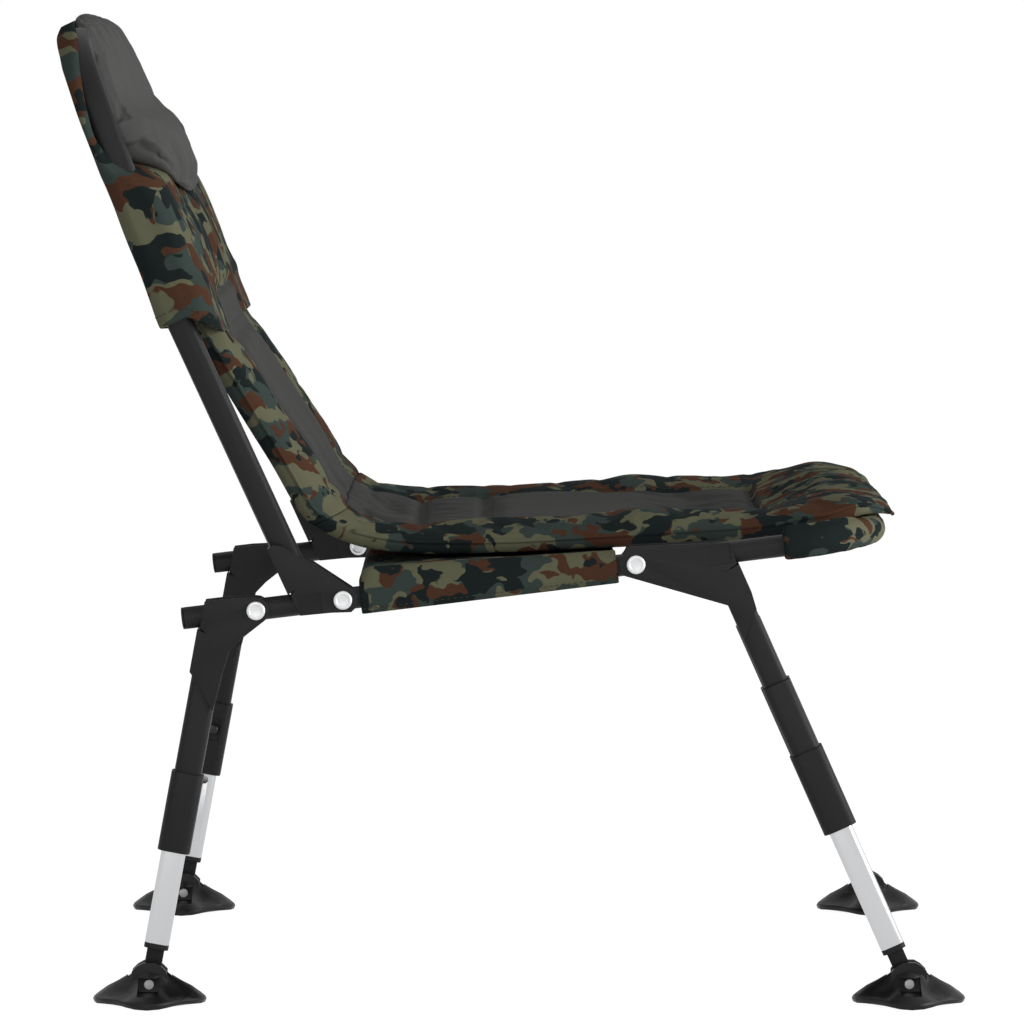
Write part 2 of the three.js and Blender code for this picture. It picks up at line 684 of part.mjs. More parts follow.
// Ear outline: straight sides up to the shoulder, then a low arch
function earOutline() {
  const half = EAR_WIDTH / 2;
  const arch = FOOT_TOP_Z - FOOT_SHOULDER_Z;
  const right = [[1, 0], [0.7, 0.6], [0.35, 1]].map(([x, z]) => [x * half, FOOT_SHOULDER_Z + z * arch]);
  const left = [...right].reverse().map(([x, z]) => [-x, z]);
  return [[-half, FOOT_HOLLOW + FOOT_ARCH], [half, FOOT_HOLLOW + FOOT_ARCH], ...right, ...left]
    .map(([x, z]) => new THREE.Vector2(x, z));
}

function footSolid() {
  const skirt = FOOT_SHOULDER_Z - FOOT_RIM;
  const domeRows = [
    // radius, height in a valley, height on a lobe, all as shares
    [0, 0.86, 1], [0.15, 0.52, 0.8], [0.36, 0.22, 0.6], [0.62, 0.07, 0.39], [0.86, 0, 0.12],
  ];
  const top = domeRows.map(([at, low, high]) => footRing(at, (lobe) => (
    FOOT_RIM + skirt * (low + (high - low) * lobe)
  )));
  const arch = (lobe) => FOOT_ARCH * (1 - lobe);
  const edge = [
    footRing(0.97, (lobe) => FOOT_RIM * 0.9 + arch(lobe) / 2),
    footRing(1, (lobe) => FOOT_RIM * 0.5 + arch(lobe)),
    footRing(0.96, (lobe) => arch(lobe)),
    footRing(0.72, () => 0),
    footRing(0.62, () => FOOT_HOLLOW),
  ];
  let foot = loft([...top, ...edge]).add(plate(earOutline(), 2 * earOutside, 0));
  const slotFloor = FOOT_PIN_Z - NECK_WIDTH / 2 - RUNNING_GAP;
  const slotTop = FOOT_TOP_Z + OVERRUN;
  const slotLength = EAR_WIDTH + 2 * OVERRUN;
  foot = foot.subtract(box(slotLength, 2 * slotHalf, slotTop - slotFloor, 0, 0, (slotTop + slotFloor) / 2));
  for (const face of [-1, 1]) {
    const y = face * (earOutside + footRadius);
    foot = foot.subtract(box(PIN_POCKET_WIDTH, FOOT_D, PIN_POCKET_HEIGHT, 0, y, FOOT_PIN_Z));
  }
  return foot.subtract(barAcross(FOOT_PIN_D / 2 + FIT_GAP, FOOT_D, 0, 0, FOOT_PIN_Z));
}

function footPin() {
  const head = footPinHeadR;
  const profile = [
    new THREE.Vector2(0, -earOutside - RIVET_HEAD / 2),
    new THREE.Vector2(head, -earOutside - RIVET_HEAD / 2),
    new THREE.Vector2(head, -earOutside - FIT_GAP),
    new THREE.Vector2(FOOT_PIN_D / 2, -earOutside - FIT_GAP),
    new THREE.Vector2(FOOT_PIN_D / 2, earOutside + FIT_GAP),
    new THREE.Vector2(head, earOutside + FIT_GAP),
    new THREE.Vector2(head, earOutside + RIVET_HEAD / 2),
    new THREE.Vector2(0, earOutside + RIVET_HEAD / 2),
  ];
  return solidOf(new THREE.LatheGeometry(profile, 16).translate(0, 0, FOOT_PIN_Z));
}

// Distance down the leg from its pivot to the foot pin, so that the foot stands on the ground
function pinDrop(pivotZ, offset, tiltDeg) {
  const tilt = tiltDeg * RAD;
  return (pivotZ - offset * Math.sin(tilt) - FOOT_PIN_Z) / Math.cos(tilt);
}

function buildLeg(end, sideName) {
  const side = SIDES[sideName];
  const rear = end === "rear";
  const tiltDeg = rear ? REAR_TILT_DEG : FRONT_TILT_DEG;
  const offset = rear ? -REAR_OFFSET : FRONT_OFFSET;
  const pivot = railPoint(rear ? REAR_PIVOT_AT : FRONT_PIVOT_AT);
  const label = (piece) => `${end}_${piece}_${sideName}`;
  const inward = -side;
  const frame = addFrame(chair, pivot.x, side * halfTrack, pivot.z, tiltDeg);
  addPiece(frame, label("leg_bracket"), "black_steel", rear ? rearBracket() : frontBracket());

  const axis = addFrame(frame, offset, 0, 0, 0);
  const wall = rear ? REAR_TUBE_WALL : OUTER_WALL;
  const bore = STOCK_WIDTH + 2 * FIT_GAP;
  const tubeWidth = bore + 2 * wall;
  const tubeDepth = rear ? STOCK_DEPTH : STOCK_DEPTH + 2 * FIT_GAP + 2 * wall;
  const silverDepth = tubeDepth - 2 * wall - 2 * FIT_GAP;
  const lockTop = rear ? REAR_LOCK_AT : FRONT_LOCK_AT;
  const lockLength = rear ? REAR_LOCK_LENGTH : FRONT_LOCK_LENGTH;
  const tubeTop = rear ? -REAR_TUBE_TOP : -OUTER_TOP;
  const tubeBottom = -lockTop - lockLength + LOCK_LIP + FIT_GAP;
  const corner = STOCK_CORNER + (rear ? FIT_GAP : wall);
  const lock = lockSleeve(tubeWidth, tubeDepth, bore, silverDepth + 2 * FIT_GAP, lockTop, lockLength, inward);
  const hole = (diameter, z, reach) => barAcross(diameter / 2, reach, 0, (inward * tubeDepth) / 2, z);

  let tube = hollowBar(tubeWidth, tubeDepth, corner, wall, tubeBottom, tubeTop);
  tube = tube.subtract(hole(LOCK_HOLE_D, lock.windowZ, tubeDepth / 2));
  addPiece(axis, label(rear ? "upper_tube" : "outer_tube"), "black_steel", tube);
  if (!rear) {
    const stub = hollowBar(STOCK_WIDTH, STOCK_DEPTH, STOCK_CORNER, STOCK_WALL, -STUB_TOP - STUB_LENGTH, -STUB_TOP);
    addPiece(axis, label("upper_tube"), "black_steel", stub);
  }
  addPiece(axis, label("lock_sleeve"), "black_plastic", lock.sleeve);
  addPiece(axis, label("lock_button"), "bright_rivet", lockButton(lock, tubeDepth, wall, inward));

  const pinZ = -pinDrop(pivot.z, offset, tiltDeg);
  const silverBottom = pinZ + NECK_DROP;
  const silverTop = tubeBottom + SILVER_OVERLAP;
  const silverCorner = STOCK_CORNER - FIT_GAP;
  let silver = hollowBar(STOCK_WIDTH, silverDepth, silverCorner, SILVER_WALL, silverBottom, silverTop);
  for (let i = -HOLES_ABOVE; i <= HOLES_BELOW; i += 1) {
    silver = silver.subtract(hole(LOCK_HOLE_D, lock.windowZ - i * HOLE_PITCH, tubeDepth / 2));
  }
  addPiece(axis, label("inner_tube"), "silver_tube", silver);
  addPiece(axis, label("leg_plug"), "black_plastic", plugSolid(STOCK_WIDTH, silverDepth, SILVER_WALL, pinZ));

  const foot = addFrame(axis, 0, 0, pinZ, -tiltDeg);
  foot.translateZ(-FOOT_PIN_Z);
  addPiece(foot, label("foot_pin"), "bright_rivet", footPin());
  addPiece(foot, label("mud_foot"), "black_plastic", footSolid());
}

// Backrest

const backPivot = railPoint(BACK_PIVOT_AT);
const backrest = addFrame(chair, backPivot.x, 0, backPivot.z, -BACK_RECLINE_DEG);
const backLean = Math.tan(BACK_BEND_DEG * RAD);

// Centre line of the backrest's tube, ahead of (+) or behind (-) the pivot
function backTubeX(z) {
  return -BACK_OFFSET + Math.max(z - BACK_BEND_AT, 0) * backLean;
}

function backPath(start) {
  const corner = (y, z) => new THREE.Vector3(backTubeX(z), y, z);
  return new BentPath([
    corner(-halfTrack, start),
    corner(-halfTrack, BACK_BEND_AT),
    corner(-halfTrack, BACK_HEIGHT),
    corner(halfTrack, BACK_HEIGHT),
    corner(halfTrack, BACK_BEND_AT),
    corner(halfTrack, start),
  ], [BACK_KINK_R, BACK_CORNER_R, BACK_CORNER_R, BACK_KINK_R], BACK_BEND_STEPS);
}

function buildBackFrame() {
  const section = roundedSection(STOCK_DEPTH, BACK_TUBE_WIDTH, STOCK_CORNER, 2);
  const boreDepth = STOCK_DEPTH - 2 * STOCK_WALL;
  const boreWidth = BACK_TUBE_WIDTH - 2 * STOCK_WALL;
  const bore = roundedSection(boreDepth, boreWidth, STOCK_CORNER - STOCK_WALL, 2);
  const tube = sweep(backPath(BACK_TUBE_START), section);
  const open = tube.subtract(sweep(backPath(BACK_TUBE_START - OVERRUN), bore));
  const clearRail = new THREE.CylinderGeometry(RAIL_D / 2 + FIT_GAP, RAIL_D / 2 + FIT_GAP, BACK_HEIGHT, 24);
  clearRail.rotateZ(Math.PI / 2).rotateY(-(RAIL_SLOPE_DEG - BACK_RECLINE_DEG) * RAD);
  let cut = open;
  for (const side of Object.values(SIDES)) {
    cut = cut.subtract(solidOf(clearRail.clone().translate(0, side * halfTrack, 0)));
  }
  addPiece(backrest, "backrest_frame_tube", "black_steel", cut);
  for (const [name, side] of Object.entries(SIDES)) {
    const mesh = addPiece(backrest, `backrest_bracket_${name}`, "black_steel", backBracket());
    mesh.position.y = side * halfTrack;
  }
}

// Padding

// Underside of the seat pad: along the rails and over them, as shares of its length and rise
const SEAT_UNDERSIDE_SHARES = [
  [0, 1.26], [0.03, 1.06], [0.08, 0.78], [0.146, 0.6], [0.24, 0.47], [0.333, 0.38], [0.43, 0.32],
  [0.51, 0.28], [0.63, 0.22], [0.8, 0.16], [0.88, 0.22], [0.945, 0.36], [0.985, 0.2],
];
// Along the pad: thickness at the side roll, at the piping and in the middle, and the sag there
const SEAT_FORM_SHARES = [
  [0, 1.0, 0.5, 0.9, 0.1], [0.05, 1.05, 0.5, 0.95, 0.2], [0.1, 0.95, 0.42, 0.95, 0.35],
  [0.17, 0.85, 0.38, 0.92, 0.45], [0.3, 0.98, 0.36, 0.96, 0.4], [0.42, 0.9, 0.34, 0.95, 0.5],
  [0.52, 0.95, 0.34, 0.95, 0.65], [0.6, 1.12, 0.36, 0.95, 0.8], [0.68, 1.1, 0.36, 0.95, 0.95],
  [0.78, 0.9, 0.4, 0.95, 0.95], [0.84, 0.82, 0.5, 0.95, 0.5], [0.9, 0.75, 0.5, 0.8, 0.1],
  [0.95, 0.5, 0.36, 0.55, 0], [0.985, 0.3, 0.25, 0.35, 0],
];
const SEAT_STATION_SHARES = [
  0, 0.03, 0.06, 0.1, 0.14, 0.166, 0.176, 0.186, 0.22, 0.26, 0.28, 0.29, 0.3, 0.35, 0.41, 0.47, 0.53,
  0.59, 0.65, 0.71, 0.77, 0.81, 0.85, 0.89, 0.92, 0.945, 0.965, 0.985,
];
const SEAT_CHANNEL_SHARES = [0.176, 0.29];
const CHANNEL_WIDTH_SHARE = 0.012;
const PANEL_SHARE = 0.62; // half width of the middle panel, of the pad's half width
const ROLL_SHARE = 0.8; // where a side roll is highest
const CORNER_SHARES = [[0, 0.97], [0.05, 1], [0.84, 1], [0.93, 0.97], [0.985, 0.86]];
const ACROSS_SHARES = [-1, -0.93, -0.8, -0.66, -0.6, -0.3, 0, 0.3, 0.6, 0.66, 0.8, 0.93, 1];

function seatUnderside(share) {
  const over = readRow(SEAT_UNDERSIDE_SHARES, share)[1] * SEAT_PAD_RISE;
  return new THREE.Vector3(SEAT_PAD_START + share * SEAT_PAD_LENGTH, 0, over);
}

// Height of a padded top across its width: rolled sides, a lower middle and a pinched piping
function crossProfile(v, roll, piping, middle) {
  const at = Math.abs(v);
  if (at < PANEL_SHARE) return middle + (roll - middle) * 0.35 * (at / PANEL_SHARE) ** 2;
  if (at < ROLL_SHARE) {
    const low = middle + (roll - middle) * 0.35;
    const t = (at - PANEL_SHARE) / (ROLL_SHARE - PANEL_SHARE);
    return low + (roll - low) * Math.sin((t * Math.PI) / 2);
  }
  const t = (at - ROLL_SHARE) / (1 - ROLL_SHARE);
  return piping + (roll - piping) * Math.cos((t * Math.PI) / 2);
}

function channelAt(share, v, seams) {
  if (Math.abs(v) > PANEL_SHARE) return 0;
  let depth = 0;
  for (const seam of seams) {
    depth = Math.max(depth, 1 - Math.abs(share - seam) / CHANNEL_WIDTH_SHARE);
  }
  return Math.max(depth, 0) * CHANNEL_DEPTH;
}

function padRing(under, up, share, half, thickness, form, sag, seams) {
  const [, roll, piping, middle] = form;
  const ring = [];
  const inset = 1 - WADDING / half;
  for (const v of ACROSS_SHARES) {
    const drop = sag * (1 - v * v);
    ring.push(under.clone().addScaledVector(up, -drop).setY(v * half * inset));
  }
  for (const v of [...ACROSS_SHARES].reverse()) {
    const drop = sag * (1 - v * v);
    const over = crossProfile(v, roll, piping, middle) * thickness - channelAt(share, v, seams);
    ring.push(under.clone().addScaledVector(up, over - drop).setY(v * half));
  }
  return ring;
}

function seatPadSolid() {
  const rings = SEAT_STATION_SHARES.map((share) => {
    const under = seatUnderside(share);
    const nearby = FIT_GAP / SEAT_PAD_LENGTH;
    const ahead = seatUnderside(share + nearby).sub(seatUnderside(share - nearby)).normalize();
    const up = new THREE.Vector3(-ahead.z, 0, ahead.x);
    const form = readRow(SEAT_FORM_SHARES, share);
    const half = SEAT_PAD_HALF_WIDTH * readRow(CORNER_SHARES, share)[1];
    return padRing(under, up, share, half, SEAT_PAD_THICKNESS, form, form[4] * SEAT_PAD_SAG, SEAT_CHANNEL_SHARES);
  });
  return loft(rings);
}

// The plane where the seat pad meets the back pad, in the seat's frame
function creasePlane() {
  const turn = (RAIL_SLOPE_DEG - BACK_RECLINE_DEG) * RAD;
  const across = [-Math.sin(turn), 0, -Math.cos(turn)];
  return { normal: across, offset: across[0] * BACK_PIVOT_AT - (BACK_PAD_FROM - CREASE_GAP) };
}

// Back pad, in the backrest's own frame: place up the back, front and rear as shares of its depth
const BACK_FORM_SHARES = [
  // up, rear face, roll, piping and middle thickness
  [0, -0.02, 0.9, 0.5, 0.8], [0.08, -0.2, 1.0, 0.5, 0.88], [0.28, -0.32, 1.04, 0.48, 0.92],
  [0.48, -0.5, 1.02, 0.46, 0.92], [0.75, -0.73, 1.0, 0.46, 0.9], [0.95, -0.9, 0.98, 0.48, 0.9],
  [1, -0.93, 0.9, 0.5, 0.85],
];
const BACK_STATION_SHARES = [0, 0.04, 0.1, 0.2, 0.32, 0.45, 0.6, 0.75, 0.88, 0.96, 1];
const BACK_HOLLOW = 4;

function backPadSolid() {
  const height = BACK_PAD_TO - BACK_PAD_FROM;
  const rings = BACK_STATION_SHARES.map((share) => {
    const [, rear, roll, piping, middle] = readRow(BACK_FORM_SHARES, share);
    const under = new THREE.Vector3(rear * BACK_PAD_DEPTH, 0, BACK_PAD_FROM + share * height);
    const up = new THREE.Vector3(1, 0, 0);
    const form = [0, roll, piping, middle];
    return padRing(under, up, share, BACK_PAD_HALF_WIDTH, BACK_PAD_THICKNESS, form, BACK_HOLLOW, []);
  });
  return loft(rings).subtract(besideHoodLip(1, -FIT_GAP));
}

// Cover of the front tube: a tight sleeve along the front bend, under the pad's front roll
function frontPocketSolid() {
  const start = RAIL_STRAIGHT - POCKET_LEAD;
  const path = new BentPath([
    new THREE.Vector3(start, -halfTrack, 0),
    new THREE.Vector3(frontTubeAt, -halfTrack, 0),
    new THREE.Vector3(frontTubeAt, halfTrack, 0),
    new THREE.Vector3(start, halfTrack, 0),
  ], [RAIL_BEND_R, RAIL_BEND_R], RAIL_BEND_STEPS);
  return sweep(path, roundSection(RAIL_D / 2 + FIT_GAP + WADDING, 12));
}

// Seat sling: a sheet below the pad, closed round each rail

const hemStart = BACK_PIVOT_AT + BACK_EYE_R + SHEET;
const hemEnd = FRONT_PIVOT_AT - FRONT_EYE_R - SHEET;
const hemBoreR = (RAIL_D / 2 + FIT_GAP) / Math.cos(Math.PI / RAIL_SIDES);
const hemR = hemBoreR + CLOTH;
const HEM_STEPS = 8;

// The top face of the sling: level with its hems, or just under the pad where the pad is lower
function slingTop(along, y, hemRise) {
  const share = (along - SEAT_PAD_START) / SEAT_PAD_LENGTH;
  const sag = readRow(SEAT_FORM_SHARES, share)[4] * SEAT_PAD_SAG;
  const v = Math.min(Math.abs(y) / (SEAT_PAD_HALF_WIDTH - WADDING), 1);
  return Math.min(hemRise, seatUnderside(share).z - sag * (1 - v * v) - 4 * FIT_GAP);
}

function slingSolid() {
  const padHalf = SEAT_PAD_HALF_WIDTH - WADDING;
  const across = [-(halfTrack - hemR), ...ACROSS_SHARES.map((v) => v * padHalf), halfTrack - hemR];
  const stations = SEAT_STATION_SHARES.map((share) => SEAT_PAD_START + share * SEAT_PAD_LENGTH);
  const between = stations.filter((at) => at > hemStart && at < hemEnd);
  const rings = [hemStart, ...between, hemEnd].map((along) => {
    const t = (along - hemStart) / (hemEnd - hemStart);
    const rise = HEM_REAR_RISE + (HEM_FRONT_RISE - HEM_REAR_RISE) * t;
    const tops = across.map((y) => new THREE.Vector3(along, y, slingTop(along, y, rise)));
    const hem = [];
    for (let i = 0; i <= HEM_STEPS; i += 1) {
      const angle = (90 - (270 * i) / HEM_STEPS) * RAD;
      const up = Math.sin(angle);
      hem.push([Math.cos(angle) * hemR, up * (up > 0 ? rise : hemR)]);
    }
    const right = hem.map(([y, z]) => new THREE.Vector3(along, halfTrack + y, z));
    const left = [...hem].reverse().map(([y, z]) => new THREE.Vector3(along, -halfTrack - y, z));
    const under = [...tops].reverse().map((p) => p.clone().setZ(p.z - CLOTH));
    return [...tops, ...right, ...under, ...left];
  });
  let sling = loft(rings);
  for (const side of Object.values(SIDES)) {
    const length = hemEnd - hemStart + 2 * OVERRUN;
    const bore = new THREE.CylinderGeometry(hemBoreR, hemBoreR, length, RAIL_SIDES).rotateZ(Math.PI / 2);
    sling = sling.subtract(solidOf(bore.translate((hemStart + hemEnd) / 2, side * halfTrack, 0)));
  }
  return sling;
}

// Hood over the top of the backrest, open below, with the tube inside it

// Everything under (-1) or over (+1) the hood's lower edge, which hangs lower in front than behind
function besideHoodLip(edge, gap) {
  const far = 2 * HOOD_DEPTH;
  const low = HOOD_FROM - HOOD_LIP;
  const line = [[-far, HOOD_FROM], [HOOD_LIP_FROM, HOOD_FROM], [HOOD_LIP_FROM + HOOD_LIP_RUN, low], [far, low]];
  const outline = line.map(([x, z]) => new THREE.Vector2(x, z + gap));
  outline.push(new THREE.Vector2(far, low + edge * far), new THREE.Vector2(-far, low + edge * far));
  return plate(outline, 2 * TRACK, 0);
}

const HOOD_FORM_SHARES = [
  // up the hood, rear face, front face: shares of its depth
  [-0.15, -0.9, 0.14], [0, -0.9, 0.17], [0.1, -0.86, 0.24], [0.285, -0.78, 0.24], [0.35, -0.75, 0.2],
  [0.415, -0.72, 0.1], [0.487, -0.7, -0.02], [0.552, -0.68, -0.22], [0.596, -0.66, -0.48],
  [0.715, -0.64, -0.4], [0.856, -0.54, -0.24], [0.93, -0.38, -0.14], [1, -0.24, -0.12],
];
const HOOD_STATION_SHARES = [
  -0.15, 0, 0.1, 0.19, 0.285, 0.35, 0.415, 0.487, 0.552, 0.596, 0.66, 0.76, 0.85, 0.91, 0.955, 0.985, 1,
];

function hoodSolid() {
  const top = BACK_HEIGHT + BACK_TUBE_WIDTH / 2 + HOOD_TOP;
  const fullHalf = halfTrack + STOCK_DEPTH / 2 + HOOD_SIDE;
  const cornerR = BACK_CORNER_R + STOCK_DEPTH / 2 + HOOD_SIDE;
  const rings = HOOD_STATION_SHARES.map((share) => {
    const z = HOOD_FROM + share * (top - HOOD_FROM);
    const [, rear, front] = readRow(HOOD_FORM_SHARES, share);
    const into = Math.max(z - (top - cornerR), 0);
    const half = fullHalf - cornerR + Math.sqrt(Math.max(cornerR ** 2 - into ** 2, (cornerR * 0.3) ** 2));
    const x0 = rear * HOOD_DEPTH;
    const x1 = front * HOOD_DEPTH;
    const corner = Math.min((x1 - x0) / 2 - FIT_GAP, HOOD_DEPTH / 4);
    return roundedSection(x1 - x0, 2 * half, corner, 3)
      .map((p) => new THREE.Vector3((x0 + x1) / 2 + p.x, p.y, z));
  });
  return loft(rings).subtract(besideHoodLip(-1, 0));
}

// Head pillow: a thick neck roll below, a flatter head part above, rounded lower corners

// Front face in the middle: up the pillow, ahead of the pivot, as shares of its height and thickness
const PILLOW_FRONT_SHARES = [
  [0, 0.3], [0.1, 0.78], [0.19, 1], [0.28, 1.08], [0.37, 0.88], [0.46, 0.52], [0.56, 0.4], [0.66, 0.42],
  [0.76, 0.44], [0.86, 0.38], [0.93, 0.18], [1, -0.3],
];
const PILLOW_EDGE_SHARES = [[0, 0.2], [0.05, 0.62], [0.13, 0.9], [0.24, 1], [0.8, 1], [0.92, 0.82], [1, 0.3]];
const PILLOW_UP_SHARES = [0, 0.05, 0.13, 0.22, 0.3, 0.38, 0.47, 0.58, 0.7, 0.81, 0.9, 0.96, 1];
const PILLOW_REAR_SHARES = [1, 0.8, 0.6, 0.38, 0.26, 0.12, 0];
const PILLOW_STATION_SHARES = [-1, -0.98, -0.93, -0.85, -0.74, -0.55, -0.28, 0, 0.28, 0.55, 0.74, 0.85, 0.93, 0.98, 1];

function hoodFront(z) {
  const height = BACK_HEIGHT + BACK_TUBE_WIDTH / 2 + HOOD_TOP - HOOD_FROM;
  return readRow(HOOD_FORM_SHARES, (z - HOOD_FROM) / height)[2] * HOOD_DEPTH;
}

function pillowSolid() {
  const rings = PILLOW_STATION_SHARES.map((v) => {
    const y = v * PILLOW_HALF_WIDTH;
    const out = Math.abs(v);
    const lowCorner = Math.max((out - PILLOW_CORNER_FROM) / (1 - PILLOW_CORNER_FROM), 0);
    const low = PILLOW_FROM + PILLOW_CORNER_RISE * lowCorner ** 2;
    const into = Math.max(Math.abs(y) - (PILLOW_HALF_WIDTH - PILLOW_TOP_R), 0);
    const high = PILLOW_FROM + PILLOW_HEIGHT - PILLOW_TOP_R + Math.sqrt(PILLOW_TOP_R ** 2 - into ** 2);
    const at = (t) => low + t * Math.max(high - low, PILLOW_CORNER_RISE / 4);
    const ring = PILLOW_UP_SHARES.map((t) => {
      const z = at(t);
      const rear = hoodFront(z) + FIT_GAP;
      const middle = readRow(PILLOW_FRONT_SHARES, (z - PILLOW_FROM) / PILLOW_HEIGHT)[1] * PILLOW_THICKNESS;
      const front = Math.max(middle - PILLOW_END_THINNING * out ** 2, rear + WADDING);
      return new THREE.Vector3(rear + (front - rear) * readRow(PILLOW_EDGE_SHARES, t)[1], y, z);
    });
    for (const t of PILLOW_REAR_SHARES) ring.push(new THREE.Vector3(hoodFront(at(t)) - WADDING, y, at(t)));
    return ring;
  });
  return loft(rings);
}

function buildPadding() {
  const frontTube = sweep(seatPath, roundSection(RAIL_D / 2 + FIT_GAP, RAIL_SIDES));
  const pocket = frontPocketSolid();
  const crease = creasePlane();
  const pad = seatPadSolid().trimByPlane(crease.normal, crease.offset);
  const clearPocket = sweep(seatPath, roundSection(RAIL_D / 2 + 2 * FIT_GAP + WADDING, 12));
  addPiece(seat, "front_pocket", "camo_cloth", pocket.subtract(frontTube));
  addPiece(seat, "seat_sling", "camo_cloth", slingSolid());
  addPiece(seat, "seat_cushion", "camo_cloth", pad.subtract(clearPocket));
  addPiece(backrest, "back_cushion", "camo_cloth", backPadSolid());
  const tubeSpace = sweep(
    backPath(BACK_BEND_AT / 2),
    roundedSection(STOCK_DEPTH + 2 * FIT_GAP, BACK_TUBE_WIDTH + 2 * FIT_GAP, STOCK_CORNER + FIT_GAP, 2),
  );
  const hood = hoodSolid();
  const pillow = pillowSolid();
  addPiece(backrest, "head_hood", "camo_cloth", hood.subtract(tubeSpace));
  const aside = 2 * FIT_GAP;
  const clearHood = hood.translate([aside, 0, 0]).add(hood.translate([0, 0, aside]));
  addPiece(backrest, "head_pillow", "grey_cloth", pillow.subtract(clearHood).subtract(tubeSpace));
}

buildSeatFrame();
buildRailCaps();
buildRivets();
for (const sideName of Object.keys(SIDES)) {
  for (const end of ["rear", "front"]) buildLeg(end, sideName);
}
buildBackFrame();
buildPadding();

// Stand the chair over the origin
chair.updateMatrixWorld(true);
const bounds = new THREE.Box3().setFromObject(chair, true);
chair.position.set(-(bounds.min.x + bounds.max.x) / 2, 0, -bounds.min.z);

export default chair;
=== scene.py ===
"""Folding fishing chair with a padded high back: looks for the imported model."""

from __future__ import annotations

import json
import logging
import math
from contextlib import contextmanager
from dataclasses import dataclass, field
from enum import Enum
from typing import Callable, ClassVar, Iterable, Iterator, Sequence

import bpy
from mathutils import Euler, Matrix, Vector, noise


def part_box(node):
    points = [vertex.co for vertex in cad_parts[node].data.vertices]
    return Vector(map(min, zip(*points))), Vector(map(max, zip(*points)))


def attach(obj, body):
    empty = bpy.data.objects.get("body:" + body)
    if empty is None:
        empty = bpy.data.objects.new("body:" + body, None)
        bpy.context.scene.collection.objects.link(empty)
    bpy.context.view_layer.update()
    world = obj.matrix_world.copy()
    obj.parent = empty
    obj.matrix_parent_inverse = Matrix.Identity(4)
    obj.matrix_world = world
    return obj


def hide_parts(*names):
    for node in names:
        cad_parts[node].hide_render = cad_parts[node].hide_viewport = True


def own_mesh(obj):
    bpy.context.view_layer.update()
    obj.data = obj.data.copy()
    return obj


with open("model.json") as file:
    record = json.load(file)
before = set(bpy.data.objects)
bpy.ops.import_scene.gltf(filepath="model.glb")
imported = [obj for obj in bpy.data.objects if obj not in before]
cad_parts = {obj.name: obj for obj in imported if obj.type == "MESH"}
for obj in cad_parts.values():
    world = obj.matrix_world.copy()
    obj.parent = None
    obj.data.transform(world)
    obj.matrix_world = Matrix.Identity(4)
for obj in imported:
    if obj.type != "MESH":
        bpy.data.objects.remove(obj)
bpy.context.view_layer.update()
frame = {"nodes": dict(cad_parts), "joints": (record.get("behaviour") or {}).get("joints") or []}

LOG = logging.getLogger("fishing_chair")
MM = 0.001

Piece = bpy.types.Object
Socket = bpy.types.NodeSocket
Point = tuple[float, float, float]
Colour = tuple[float, float, float, float]
Ring = list[Vector]


class Side(Enum):
    """The two sides of the chair, seen by the sitter."""

    LEFT = 1
    RIGHT = -1

    @property
    def word(self) -> str:
        """The side's name as node names end."""
        return self.name.lower()


class LegEnd(Enum):
    """The two ends of the seat that carry legs."""

    REAR = "rear"
    FRONT = "front"


# Small tools


class Profile:
    """A smooth curve through the rows of a table, without overshoot."""

    def __init__(self, rows: Sequence[Sequence[float]], column: int = 1) -> None:
        """Reads one column of the rows.

        Args:
            rows: rows of place, value, value and so on, with rising places.
            column: the column that holds this curve's values.
        """
        self.at = [row[0] for row in rows]
        self.value = [row[column] for row in rows]
        spots = list(zip(self.at, self.value))
        steps = [(b[1] - a[1]) / (b[0] - a[0]) for a, b in zip(spots, spots[1:])]
        self.slope = [steps[0]]
        for before, after in zip(steps, steps[1:]):
            self.slope.append(0.0 if before * after <= 0 else 2 * before * after / (before + after))
        self.slope.append(steps[-1])

    def __call__(self, place: float) -> float:
        """The curve's value at a place, held level past either end."""
        if place <= self.at[0]:
            return self.value[0]
        if place >= self.at[-1]:
            return self.value[-1]
        i = max(k for k in range(len(self.at) - 1) if self.at[k] <= place)
        width = self.at[i + 1] - self.at[i]
        t = (place - self.at[i]) / width
        t2, t3 = t * t, t * t * t
        return (
            (2 * t3 - 3 * t2 + 1) * self.value[i]
            + (t3 - 2 * t2 + t) * width * self.slope[i]
            + (3 * t2 - 2 * t3) * self.value[i + 1]
            + (t3 - t2) * width * self.slope[i + 1]
        )


def smooth_step(low: float, high: float, value: float) -> float:
    """0 below low, 1 above high, and a soft ramp between."""
    t = min(max((value - low) / (high - low), 0.0), 1.0)
    return t * t * (3 - 2 * t)


def spread(count: int, low: float = 0.0, high: float = 1.0) -> list[float]:
    """Evenly spaced values from low to high."""
    return [low + (high - low) * i / (count - 1) for i in range(count)]


def graded(count: int, low: float, high: float, exact: Sequence[float] = ()) -> list[float]:
    """Evenly spaced values, with the nearest one moved onto each exact value.

    Args:
        count: how many values.
        low: the first value.
        high: the last value.
        exact: values that have to be among them.

    Returns:
        The values, in order.
    """
    values = spread(count, low, high)
    for wanted in exact:
        nearest = min(range(count), key=lambda i: abs(values[i] - wanted))
        values[nearest] = wanted
    return values


